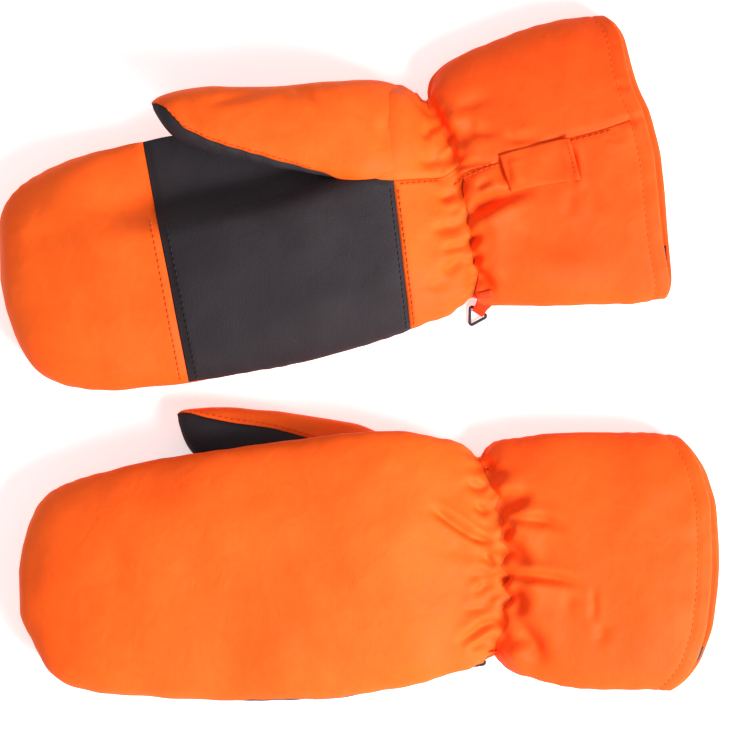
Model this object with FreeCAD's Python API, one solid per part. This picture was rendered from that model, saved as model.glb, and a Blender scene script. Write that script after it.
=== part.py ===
# Pair of insulated ski mittens lying flat, side by side: the right mitten palm up, the left mitten palm down.
# Row frame: +X from fingertips to cuff mouth, +Y from little finger to index finger, +Z up; the origin is at the
# centre of the pair's box, on the surface that the mittens lie on. Millimetres.
#
# Each mitten is a set of nested soft layers: outer fabric, waterproof membrane, wadding and fleece lining, each a
# separate closed solid, with the palm side and the back side meeting at the edge seam. A finger section, a thumb and a
# cuff hang on the hand section, and a webbing loop with a triangular ring is sewn in at the little-finger side of the wrist.
import FreeCAD, Part
import math
import os

V = FreeCAD.Vector

# ---------------------------------------------------------------- driving dimensions (mm)
GRID = 0.48            # size of one drafting unit of the outline tables below
ORIGIN_U = (359.07, 357.02)   # drafting units of the row origin
SHELL = 1.0            # outer fabric with its bonded backing
GAP = 0.25             # air between two layers
MEMBRANE = 0.5
WADDING = 5.0
LINING = 1.2
THUMB_WADDING = 2.2
CUFF_WADDING = 2.0
SEAM_GAP = 0.12        # half of the gap between palm side and back side at the edge seam
BODY_GAP = 0.35        # half of the gap between two sections that move
HEM = 7.5              # width of the turned hem at the cuff mouth
TAB_L, TAB_T = 34.0, 1.2
STRAP_W, STRAP_T = 6.0, 0.9
RING_SIDE, RING_WIRE_R, RING_CORNER_R = 10.0, 0.75, 1.0
LOOP_REACH = 5.2       # pivot line of the loop to the ring's bar, seen from above
LOOPS = {
    # pivot (x, y) in drafting units, direction of the loop, pivot height, drop to the ring's bar (mm)
    "right": (485.0, 301.4, -0.52, -0.85, 6.2, 4.6),
    "left": (489.0, 650.0, -0.78, -0.62, 4.4, 2.8),
}
STRAP_HOLE_R = RING_WIRE_R + 0.15
EDGE_P, EDGE_Q = 2.6, 2.0   # fullness of the cross-section

D_SHELL = (0.0, SHELL)
D_MEMB = (SHELL + GAP, SHELL + GAP + MEMBRANE)
D_WADD = (D_MEMB[1] + GAP, D_MEMB[1] + GAP + WADDING)
D_LINE = (D_WADD[1] + GAP, D_WADD[1] + GAP + LINING)

# ---------------------------------------------------------------- outline tables, in drafting units
# Each rib: index-side point (x, y), little-finger-side point (x, y), palm thickness, back thickness, seam height at the
# index side, seam height at the little-finger side, opening angle of the rounded tip.
TIP_ANGLE = [0.0, 0.273, 0.515, 0.816, 1.161, math.pi / 2]
HAND = {
    "right": [
        (-1, 224, 0, 278, 19, 15.0, 15.0, 15.0),
        (3, 208, 5, 305, 19, 15.0, 15.0, 15.0),
        (14, 191, 15, 338, 19, 15.0, 15.0, 15.0),
        (32, 176, 38, 373, 19.5, 15.0, 15.0, 15.0),
        (60, 162, 74, 388, 20, 15.2, 15.0, 15.0),
        (98, 150, 122, 390.5, 20.5, 15.6, 15.3, 15.3),
        (143, 140, 190, 382, 21, 16.2, 15.8, 15.8),
        (190, 130, 235, 375, 22, 16.4, 16.0, 16.0),
        (240, 121, 285, 366, 22, 16.4, 16.0, 16.0),
        (290, 109, 330, 357, 22, 16.4, 16.0, 16.0),
        (335, 92, 372, 345, 22, 16.4, 16.0, 16.0),
        (370, 83, 400, 336, 22, 16.2, 16.0, 16.0),
        (398, 86, 428, 325, 19, 14.5, 15.5, 15.5),
        (414, 93, 452, 312, 15, 12.0, 14.5, 14.5),
        (422, 97, 466, 304, 13, 11.0, 14.0, 14.0),
    ],
    "left": [
        (19, 573, 20, 612, 19, 15.0, 19.3, 19.3),
        (22, 548, 24, 626, 19, 15.0, 19.3, 19.3),
        (30, 519, 34, 645, 19, 15.0, 19.5, 19.3),
        (47, 494, 53, 675, 19.5, 15.0, 20.1, 19.5),
        (75, 479, 88, 691, 20, 15.2, 21.3, 19.5),
        (112, 467, 135, 696, 20.5, 15.6, 23.6, 18.8),
        (155, 457, 192, 700, 21, 16.2, 26.4, 17.6),
        (205, 449, 245, 701, 22, 16.4, 29.0, 17.0),
        (256, 442, 290, 700, 22, 16.4, 30.0, 16.8),
        (305, 436, 335, 697, 22, 16.4, 30.0, 16.8),
        (352, 431, 378, 692, 22, 16.4, 29.2, 17.0),
        (395, 429, 416, 686, 21.5, 16.2, 26.0, 17.6),
        (432, 435, 448, 676, 18.6, 14.5, 21.4, 17.4),
        (458, 444, 474, 666, 15, 12.0, 17.4, 16.6),
        (474, 452, 488, 661, 13, 11.0, 15.5, 15.5),
    ],
}
CUFF = {
    # the last number is how far the rib bows out towards the mouth
    "right": [
        (434, 84, 480, 303, 13.5, 11.5, 14.0, 14.0, 0),
        (442, 70, 494, 303, 15, 12.5, 13.8, 13.8, 1),
        (460, 54, 516, 307, 16, 13.5, 13.6, 13.6, 3),
        (492, 39, 550, 308, 17, 13.7, 13.5, 13.5, 8),
        (535, 24, 594, 307, 17, 13.7, 13.5, 13.5, 14),
        (570, 17, 632, 305, 17, 13.7, 13.5, 13.5, 20),
        (602, 13, 664, 302, 16, 13.7, 13.5, 13.5, 26),
    ],
    "left": [
        (483, 449, 499, 662, 13.5, 11.5, 15.3, 15.3, 0),
        (494, 443, 510, 671, 15, 12.5, 15.6, 15.6, 1),
        (514, 438, 528, 680, 16, 13.5, 17.4, 17.4, 3),
        (552, 432, 562, 688, 17, 13.7, 18.7, 18.7, 9),
        (600, 430, 604, 691, 17, 13.7, 18.7, 18.7, 16),
        (645, 431, 642, 691.5, 17, 13.7, 18.2, 18.2, 24),
        (688, 438, 678, 691, 16, 13.7, 15.8, 15.8, 36),
    ],
}
THUMB = {
    # thickness away from the palm, thickness towards the palm, seam heights
    "right": [
        (152, 104, 154, 110, 11, 7.5, 33.2, 33.2),
        (157, 99.5, 160, 121, 11, 7.5, 33.2, 33.2),
        (165, 95.5, 170, 134, 11.5, 7.8, 33.2, 33.2),
        (180, 91, 186, 145, 11.5, 8.0, 33.2, 33.2),
        (208, 87.5, 214, 156, 12, 8.2, 33.2, 33.2),
        (248, 87.5, 250, 164, 12, 8.4, 33.2, 33.2),
        (290, 86.5, 292, 172, 12, 8.2, 33.2, 33.2),
        (329, 84, 333, 174, 12, 7.8, 33.2, 33.2),
    ],
    "left": [
        (177, 414, 178, 421, 11, 7.5, 11.8, 11.8),
        (181, 410.5, 183, 437, 11, 7.5, 11.8, 11.8),
        (190, 408.5, 192, 452, 11.5, 7.8, 11.8, 11.8),
        (206, 407.5, 210, 466, 11.5, 8.0, 11.8, 11.8),
        (234, 407.5, 239, 477, 12, 8.2, 11.8, 11.8),
        (272, 410, 276, 486, 12, 8.4, 11.8, 11.8),
        (309, 415, 313, 494, 12, 8.2, 11.8, 11.8),
        (345, 420, 350, 502, 12, 7.8, 11.8, 11.8),
    ],
}
THUMB_TIP_ANGLE = [0.0, 0.40, 0.75, 1.08, 1.35, math.pi / 2]

FINGER_RIB = 6.0       # the finger section ends at this rib, on the palm patch's front seam
HEEL_RIB = 11.4        # rear seam of the palm patch
THUMB_ROOT_RIB = 9.86  # the thumb base panel starts at this rib
HAND_END = 13.35       # the outer fabric ends at the wrist casing
CASING = (13.42, 13.98)
CUFF_START = 0.25


class Spline:
    """Natural cubic through values at 0, 1, 2, ..."""

    def __init__(self, ys):
        n = len(ys)
        self.y = ys
        a = [0.0] * n
        b = [0.0] * n
        for i in range(1, n - 1):
            p = 0.5 * a[i - 1] + 2
            a[i] = -0.5 / p
            b[i] = (3 * (ys[i + 1] - 2 * ys[i] + ys[i - 1]) - 0.5 * b[i - 1]) / p
        m = [0.0] * n
        for i in range(n - 2, 0, -1):
            m[i] = a[i] * m[i + 1] + b[i]
        self.m = m

    def __call__(self, s):
        n = len(self.y)
        i = min(max(int(math.floor(s)), 0), n - 2)
        t = s - i
        y, m = self.y, self.m
        return (
            (1 - t) * y[i]
            + t * y[i + 1]
            + ((1 - t) ** 3 - (1 - t)) * m[i] / 6
            + (t**3 - t) * m[i + 1] / 6
        )


def smooth(x, lo, hi):
    t = min(max((x - lo) / (hi - lo), 0.0), 1.0)
    return t * t * (3 - 2 * t)


def full(t):
    return max(1 - abs(t) ** EDGE_P, 0.0) ** (1 / EDGE_Q)


def even_ts(n=401, flat=0.36):
    """t against arc length along a half cross-section, so that points lie evenly on it."""
    raw = [-math.cos(math.pi * i / (n - 1)) for i in range(n)]
    run = [0.0]
    for a, b in zip(raw, raw[1:]):
        run.append(run[-1] + math.hypot(b - a, flat * (full(b) - full(a))))
    return raw, [r / run[-1] for r in run]


TS, RUN = even_ts()


def t_at(v):
    """v from 0 to 1 along the half cross-section, to t from -1 to 1."""
    if v <= 0:
        return -1.0
    if v >= 1:
        return 1.0
    lo, hi = 0, len(RUN) - 1
    while hi - lo > 1:
        mid = (lo + hi) // 2
        if RUN[mid] <= v:
            lo = mid
        else:
            hi = mid
    f = (v - RUN[lo]) / max(RUN[hi] - RUN[lo], 1e-12)
    return TS[lo] + f * (TS[hi] - TS[lo])


def v_at(t):
    lo, hi = 0, len(TS) - 1
    while hi - lo > 1:
        mid = (lo + hi) // 2
        if TS[mid] <= t:
            lo = mid
        else:
            hi = mid
    f = (t - TS[lo]) / max(TS[hi] - TS[lo], 1e-12)
    return RUN[lo] + f * (RUN[hi] - RUN[lo])


class Form:
    """A soft hollow form given by ribs. side +1 is the palm side and -1 the back side."""

    def __init__(self, rows, up, tip_angles=None, dent=False, bow=False):
        self.up = up  # +1 palm up, -1 palm down
        cols = list(zip(*rows))
        self.ax = Spline([(x - ORIGIN_U[0]) * GRID for x in cols[0]])
        self.ay = Spline([(ORIGIN_U[1] - y) * GRID for y in cols[1]])
        self.bx = Spline([(x - ORIGIN_U[0]) * GRID for x in cols[2]])
        self.by = Spline([(ORIGIN_U[1] - y) * GRID for y in cols[3]])
        self.tp, self.tb = Spline(cols[4]), Spline(cols[5])
        self.za, self.zb = Spline(cols[6]), Spline(cols[7])
        self.bow = Spline([b * GRID for b in cols[8]]) if bow else (lambda s: 0.0)
        self.tip = tip_angles
        self.dent = dent
        self.n = len(rows)

    def angle(self, s):
        if not self.tip or s >= len(self.tip) - 1:
            return math.pi / 2
        i = min(int(s), len(self.tip) - 2)
        # a gently curved table, read with a Hermite step
        a = self.tip
        t = s - i
        m0 = (a[i + 1] - a[i - 1]) / 2 if i > 0 else a[1] - a[0]
        m1 = (a[i + 2] - a[i]) / 2 if i + 2 < len(a) else a[i + 1] - a[i]
        return (
            (2 * t**3 - 3 * t**2 + 1) * a[i]
            + (t**3 - 2 * t**2 + t) * m0
            + (-2 * t**3 + 3 * t**2) * a[i + 1]
            + (t**3 - t**2) * m1
        )

    def dented(self, s, t):
        """The palm is pressed flat under the thumb."""
        if not self.dent:
            return 1.0
        along = smooth(s, 4.0, 6.2) * (1 - smooth(s, 9.85, 11.6))
        return 1 - 0.72 * along * smooth(t, 0.22, 0.54)

    def point(self, side, s, t, d, ease=0.0):
        """The point at rib s, across t, at depth d under the outer face."""
        psi = self.angle(s)
        a, b = (self.ax(s), self.ay(s)), (self.bx(s), self.by(s))
        cx, cy = (a[0] + b[0]) / 2, (a[1] + b[1]) / 2
        hx, hy = (a[0] - b[0]) / 2, (a[1] - b[1]) / 2
        w = math.hypot(hx, hy)
        ux, uy = hx / w, hy / w
        nx, ny = uy, -ux  # towards the mouth
        if nx < 0:
            nx, ny = -nx, -ny
        w2 = w - d * math.tanh(w / 8.0)  # a narrow tip keeps its inner layers narrow too
        push = self.bow(s) * (1 - t * t) + d * math.cos(psi)
        x = cx + ux * w2 * t + nx * push
        y = cy + uy * w2 * t + ny * push
        seam = (self.za(s) + self.zb(s)) / 2 + (self.za(s) - self.zb(s)) / 2 * t * w2 / w
        thick = self.tp(s) if side > 0 else self.tb(s)
        f = self.dented(s, t) if side > 0 else 1.0
        h = full(t) * (thick * f - d) * math.sin(psi)
        z = seam + self.up * side * (h + SEAM_GAP + ease)
        return V(x, y, z)


def surface(points):
    s = Part.BSplineSurface()
    s.interpolate(points)
    return s


def closed(outer, inner, name):
    """A solid between two point grids of the same shape."""
    so, si = surface(outer), surface(inner)
    faces = [so.toShape(), si.toShape()]
    u0, u1, v0, v1 = so.bounds()
    p0, p1, q0, q1 = si.bounds()
    pairs = [
        (so.uIso(u0), si.uIso(p0)),
        (so.uIso(u1), si.uIso(p1)),
        (so.vIso(v0), si.vIso(q0)),
        (so.vIso(v1), si.vIso(q1)),
    ]
    for c, e in pairs:
        faces.append(Part.makeRuledSurface(c.toShape(), e.toShape()))
    shell = Part.makeShell(faces)
    shell.sewShape()
    if shell.ShapeType != "Shell":
        shell = shell.Shells[0]
    solid = Part.makeSolid(shell)
    if solid.Volume < 0:
        solid.reverse()
    if not solid.isValid() or not shell.isClosed():
        print("PROBLEM", name, "valid", solid.isValid(), "closed", shell.isClosed())
    return solid


def layer(form, side, s0, s1, depth, name, t0=-1.0, t1=1.0, nu=None, nv=19):
    """One layer of the form between ribs s0 and s1, and across from t0 to t1. depth(s) gives (outer, inner)."""
    t0f = t0 if callable(t0) else (lambda s: t0)
    t1f = t1 if callable(t1) else (lambda s: t1)
    if nu is None:
        nu = max(4, int(round((s1 - s0) * 3)) + 1)
    grids = []
    for k in (0, 1):
        rows = []
        for i in range(nu):
            s = s0 + (s1 - s0) * i / (nu - 1)
            va, vb = v_at(t0f(s)), v_at(t1f(s))
            row = []
            for j in range(nv):
                t = t_at(va + (vb - va) * j / (nv - 1))
                row.append(form.point(side, s, t, depth(s)[k]))
            rows.append(row)
        grids.append(rows)
    return closed(grids[0], grids[1], name)


def fixed(pair):
    return lambda s: pair


def tapering(base, which):
    """Depths of the inner layers of the hand: the wadding thins to the wrist."""
    def f(s):
        g = 1 - 0.62 * smooth(s, 11.2, 13.6)
        wad0 = D_WADD[0]
        wad1 = wad0 + WADDING * g
        if which == "wadding":
            return (wad0, wad1)
        return (wad1 + GAP, wad1 + GAP + LINING)
    return f


def rib_gap(form, s, amount):
    """How much rib value makes this many millimetres along the axis at rib s."""
    e = 0.01
    a = form.point(1, s - e, 0.0, 0)
    b = form.point(1, s + e, 0.0, 0)
    return amount * 2 * e / math.hypot(b.x - a.x, b.y - a.y)


def cut_flat(shape):
    """Takes off what reaches under the resting surface, which leaves a flat foot there."""
    if shape.BoundBox.ZMin > -1e-4:
        return shape
    out = shape.cut(Part.makeBox(800, 800, 20, V(-400, -400, -20)))
    return out.Solids[0] if len(out.Solids) == 1 else out


def compound(*shapes):
    return Part.makeCompound(list(shapes))


nodes = {}


def add(name, *shapes):
    shapes = [cut_flat(x) for x in shapes]
    shape = shapes[0] if len(shapes) == 1 else compound(*shapes)
    nodes[name] = shape


def mitten(hand):
    up = 1 if hand == "right" else -1
    p = hand + "_"
    H = Form(HAND[hand], up, TIP_ANGLE, dent=True)
    C = Form(CUFF[hand], up, bow=True)
    T = Form(THUMB[hand], up, THUMB_TIP_ANGLE)
    # the thumb's own palm side faces away from the hand, so its outer panel is on side +1
    g6 = rib_gap(H, FINGER_RIB, BODY_GAP)
    f1, h0 = FINGER_RIB - g6, FINGER_RIB + g6
    small = 0.006
    seam_t = lambda s: 0.40 - 0.18 * smooth(s, THUMB_ROOT_RIB, 12.0)
    seam_up = lambda s: seam_t(s) + 0.004
    seam_dn = lambda s: seam_t(s) - 0.004

    # ---- outer fabric of the finger section
    shell = fixed(D_SHELL)
    fingers_back = layer(H, -1, 0, f1, shell, p + "back_panel_fingers", nu=19)
    add(p + "palm_tip_panel", layer(H, 1, 0, f1, shell, p + "palm_tip_panel", nu=19))
    # ---- outer fabric of the hand section
    hand_back = layer(H, -1, h0, HAND_END, shell, p + "back_panel_hand", nu=24)
    patch_front = layer(H, 1, h0, THUMB_ROOT_RIB - 0.03, shell, p + "palm_patch front", nu=13)
    patch_rear = layer(H, 1, THUMB_ROOT_RIB - 0.026, HEEL_RIB - small, shell, p + "palm_patch rear", t1=seam_dn, nu=7, nv=13)
    heel = layer(H, 1, HEEL_RIB + small, HAND_END, shell, p + "palm_heel_panel", t1=seam_dn, nu=8, nv=13)
    base = layer(H, 1, THUMB_ROOT_RIB, HAND_END, shell, p + "thumb_base_panel", t0=seam_up, nu=13, nv=11)
    add(p + "back_panel_fingers", fingers_back)
    add(p + "back_panel_hand", hand_back)
    add(p + "palm_patch", patch_front, patch_rear)
    add(p + "palm_heel_panel", heel)
    add(p + "thumb_base_panel", base)
    # ---- membrane, wadding and lining, each in a palm half and a back half
    for label, depth_f, depth_h in (
        ("membrane", fixed(D_MEMB), fixed(D_MEMB)),
        ("wadding", tapering(D_WADD, "wadding"), tapering(D_WADD, "wadding")),
        ("lining", tapering(D_LINE, "lining"), tapering(D_LINE, "lining")),
    ):
        end = HAND_END if label != "lining" else CASING[1]
        add(p + "finger_" + label, *[layer(H, sd, 0, f1, depth_f, p + "finger_" + label, nu=19) for sd in (1, -1)])
        add(p + "hand_" + label, *[layer(H, sd, h0, end, depth_h, p + "hand_" + label, nu=24) for sd in (1, -1)])
    # ---- elastic in its casing round the wrist
    add(p + "wrist_casing", *[layer(H, sd, CASING[0], CASING[1], fixed((0.0, 0.9)), p + "wrist_casing", nu=4) for sd in (1, -1)])
    add(p + "wrist_elastic", *[layer(H, sd, CASING[0] + 0.05, CASING[1] - 0.05, fixed((1.1, 2.3)), p + "wrist_elastic", nu=4) for sd in (1, -1)])
    # ---- cuff
    cg = rib_gap(C, 5.8, HEM)
    hem0 = 6.0 - cg
    seam_c = lambda s: 0.15 + 0.01 * s
    cu = lambda s: seam_c(s) + 0.004
    cd = lambda s: seam_c(s) - 0.004
    cuff_back = layer(C, -1, CUFF_START, hem0, shell, p + "cuff_back_panel", nu=11)
    cuff_palm = layer(C, 1, CUFF_START, hem0, shell, p + "cuff_palm_panel", t1=cd, nu=11)
    cuff_thumb = layer(C, 1, CUFF_START, hem0, shell, p + "cuff_thumb_panel", t0=cu, nu=11)
    add(p + "cuff_back_panel", cuff_back)
    add(p + "cuff_palm_panel", cuff_palm)
    add(p + "cuff_thumb_panel", cuff_thumb)
    w0 = SHELL + GAP
    w1 = w0 + CUFF_WADDING
    l0, l1 = w1 + GAP, w1 + GAP + LINING
    add(p + "cuff_wadding", *[layer(C, sd, CUFF_START, hem0, fixed((w0, w1)), p + "cuff_wadding", nu=11) for sd in (1, -1)])
    add(p + "cuff_lining", *[layer(C, sd, CUFF_START, hem0, fixed((l0, l1)), p + "cuff_lining", nu=11) for sd in (1, -1)])
    add(p + "cuff_hem", *[layer(C, sd, hem0 + 0.01, 6.0, fixed((0.0, l1)), p + "cuff_hem", nu=4) for sd in (1, -1)])
    add(p + "cuff_seam_tab", layer(C, 1, 2.85, 4.3, fixed((-1.4, -0.2)), p + "cuff_seam_tab", t0=-0.12, t1=0.13, nu=5, nv=5))
    # a small folded woven label, sewn to the lining just inside the mouth
    add(p + "size_label", layer(C, -1, 5.2, 5.95, fixed((l1 + 0.5, l1 + 1.1)), p + "size_label", t0=-0.80, t1=-0.60, nu=4, nv=5))
    # ---- thumb
    root = 7.0 - rib_gap(T, 6.9, BODY_GAP)
    td_m = (SHELL + GAP, SHELL + GAP + 0.4)
    td_w = (td_m[1] + GAP, td_m[1] + GAP + THUMB_WADDING)
    td_l = (td_w[1] + GAP, td_w[1] + GAP + 1.0)
    thumb_outer = layer(T, 1, 0, root, shell, p + "thumb_outer_panel", nu=15, nv=15)
    thumb_grip = layer(T, -1, 0, root, shell, p + "thumb_grip_panel", nu=15, nv=15)
    add(p + "thumb_outer_panel", thumb_outer)
    add(p + "thumb_grip_panel", thumb_grip)
    for label, dd in (("membrane", td_m), ("wadding", td_w), ("lining", td_l)):
        add(p + "thumb_" + label, *[layer(T, sd, 0.0, root, fixed(dd), p + "thumb_" + label, nu=15, nv=15) for sd in (1, -1)])
    # ---- webbing loop and ring
    strap_and_ring(hand)


def strap_and_ring(hand):
    """The strap's root is a round edge on its own pivot line; its far end folds round the ring's straight bar."""
    p = hand + "_"
    u, v, ax, ay, height, drop = LOOPS[hand]
    root = V((u - ORIGIN_U[0]) * GRID, (ORIGIN_U[1] - v) * GRID, height)
    along = V(ax, ay, 0.0)
    along.normalize()
    bar = V(root.x + along.x * LOOP_REACH, root.y + along.y * LOOP_REACH, root.z - drop)
    axis = V(-along.y, along.x, 0.0)
    axis.normalize()
    d = bar.sub(root)
    length = d.Length
    d.normalize()
    n = axis.cross(d)
    ro = STRAP_HOLE_R + STRAP_T

    def at(s, h, k):
        return root.add(d * s).add(n * h).add(axis * k)

    def stadium(s0, s1, r, k):
        e = [
            Part.LineSegment(at(s0, r, k), at(s1, r, k)).toShape(),
            Part.Arc(at(s1, r, k), at(s1 + r, 0, k), at(s1, -r, k)).toShape(),
            Part.LineSegment(at(s1, -r, k), at(s0, -r, k)).toShape(),
            Part.Arc(at(s0, -r, k), at(s0 - r, 0, k), at(s0, r, k)).toShape(),
        ]
        return Part.Face(Part.Wire(e))

    body = stadium(0, length, ro, -STRAP_W / 2).extrude(axis * STRAP_W)
    hole = stadium(length - 1.6, length, STRAP_HOLE_R, -STRAP_W / 2 - 1).extrude(axis * (STRAP_W + 2))
    add(p + "clip_loop", body.cut(hole))
    # ring: a triangle of round wire with rounded corners, its straight bar in the fold of the strap, lying flat
    side, r, rc = RING_SIDE, RING_WIRE_R, RING_CORNER_R
    out = V(along.x, along.y, 0.0)
    tilt = math.asin(min(0.9, (bar.z - r - 0.05) / (side * 0.866)))
    out = V(out.x * math.cos(tilt), out.y * math.cos(tilt), -math.sin(tilt))
    q = [bar.add(axis * (side / 2)), bar.sub(axis * (side / 2)), bar.add(out * (side * 0.866))]
    trim = rc * math.sqrt(3)
    edges = []
    for i in range(3):
        a, b, c = q[i], q[(i + 1) % 3], q[(i + 2) % 3]
        ab, bc = b.sub(a), c.sub(b)
        ab.normalize()
        bc.normalize()
        p1, p2 = a.add(ab * trim), b.sub(ab * trim)
        p3 = b.add(bc * trim)
        centre_dir = bc.sub(ab)
        centre_dir.normalize()
        centre = b.add(centre_dir * (2 * rc))
        mid = centre.sub(centre_dir * rc)
        edges.append(Part.LineSegment(p1, p2).toShape())
        edges.append(Part.Arc(p2, mid, p3).toShape())
    path = Part.Wire(edges)
    tangent = q[1].sub(q[0])
    tangent.normalize()
    start = q[0].add(tangent * trim)
    circle = Part.Wire([Part.Circle(start, tangent, r).toShape()])
    ring = path.makePipeShell([circle], True, False)
    if ring.ShapeType != "Solid":
        ring = Part.makeSolid(ring)
    if ring.Volume < 0:
        ring.reverse()
    add(p + "clip_ring", ring)
    # two short rows of thread through the strap, across its width
    tacks = []
    for s in (2.0, 3.4):
        row = Part.makeBox(0.5, 0.25, STRAP_W - 1.0)
        row.Placement = FreeCAD.Placement()
        m = FreeCAD.Matrix(
            d.x, n.x, axis.x, 0, d.y, n.y, axis.y, 0, d.z, n.z, axis.z, 0, 0, 0, 0, 1
        )
        m2 = FreeCAD.Matrix(m)
        o = at(s, ro + 0.05, -(STRAP_W - 1.0) / 2)
        m2.A14, m2.A24, m2.A34 = o.x, o.y, o.z
        tacks.append(row.transformGeometry(m2))
    add(p + "bar_tacks", *tacks)
    print(p, "loop pivot", [round(x, 3) for x in root], "bar", [round(x, 3) for x in bar], "axis", [round(x, 4) for x in axis], "tilt", round(math.degrees(tilt), 2))


for hand in ("right", "left"):
    mitten(hand)

os.makedirs("parts", exist_ok=True)
box = FreeCAD.BoundBox()
for name, shape in nodes.items():
    for solid in shape.Solids:
        if not solid.isValid() or solid.Volume <= 0:
            print("PROBLEM invalid", name, solid.isValid(), solid.Volume)
    shape.exportStep("parts/" + name + ".step")
    b = shape.optimalBoundingBox(True, False)
    box.add(b)
    if b.ZMin < 2.0:
        print(name, "lowest", round(b.ZMin, 3))
print("nodes", len(nodes), "box", [round(v, 2) for v in (box.XMin, box.XMax, box.YMin, box.YMax, box.ZMin, box.ZMax)])
for hand in ("right", "left"):
    H = Form(HAND[hand], 1 if hand == "right" else -1, TIP_ANGLE, dent=True)
    T = Form(THUMB[hand], 1 if hand == "right" else -1, THUMB_TIP_ANGLE)
    C = Form(CUFF[hand], 1 if hand == "right" else -1, bow=True)
    for label, f, s in (("finger", H, FINGER_RIB), ("wrist", H, CASING[1]), ("thumb root", T, 7.0), ("cuff start", C, CUFF_START)):
        print(hand, label, "A", [round(x, 2) for x in f.point(1, s, 1.0, 0)], "B", [round(x, 2) for x in f.point(1, s, -1.0, 0)], "top", [round(x, 2) for x in f.point(1, s, 0.0, 0)], "bottom", [round(x, 2) for x in f.point(-1, s, 0.0, 0)])
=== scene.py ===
import bpy, math, time
import numpy as np
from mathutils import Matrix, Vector


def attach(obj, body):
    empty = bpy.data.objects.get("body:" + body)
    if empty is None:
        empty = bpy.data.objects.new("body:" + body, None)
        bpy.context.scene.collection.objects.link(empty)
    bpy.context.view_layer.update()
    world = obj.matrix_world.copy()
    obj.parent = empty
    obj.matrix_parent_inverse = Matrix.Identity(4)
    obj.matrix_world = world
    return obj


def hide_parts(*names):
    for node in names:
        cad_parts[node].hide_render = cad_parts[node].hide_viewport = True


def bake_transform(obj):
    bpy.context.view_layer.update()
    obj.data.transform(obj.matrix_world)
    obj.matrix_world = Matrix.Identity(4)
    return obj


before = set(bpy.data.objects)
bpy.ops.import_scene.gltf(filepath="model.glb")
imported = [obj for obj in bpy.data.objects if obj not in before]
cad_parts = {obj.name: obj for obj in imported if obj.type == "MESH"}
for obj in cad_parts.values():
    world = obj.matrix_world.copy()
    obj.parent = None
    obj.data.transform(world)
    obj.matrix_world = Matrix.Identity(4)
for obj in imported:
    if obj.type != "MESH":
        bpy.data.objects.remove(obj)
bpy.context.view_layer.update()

# ---------------------------------------------------------------- the forms that the cloth is sewn to
GRID = 0.48e-3
OU = (359.07, 357.02)
EDGE_P, EDGE_Q = 2.6, 2.0
TIP_ANGLE = [0.0, 0.273, 0.515, 0.816, 1.161, math.pi / 2]
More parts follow.
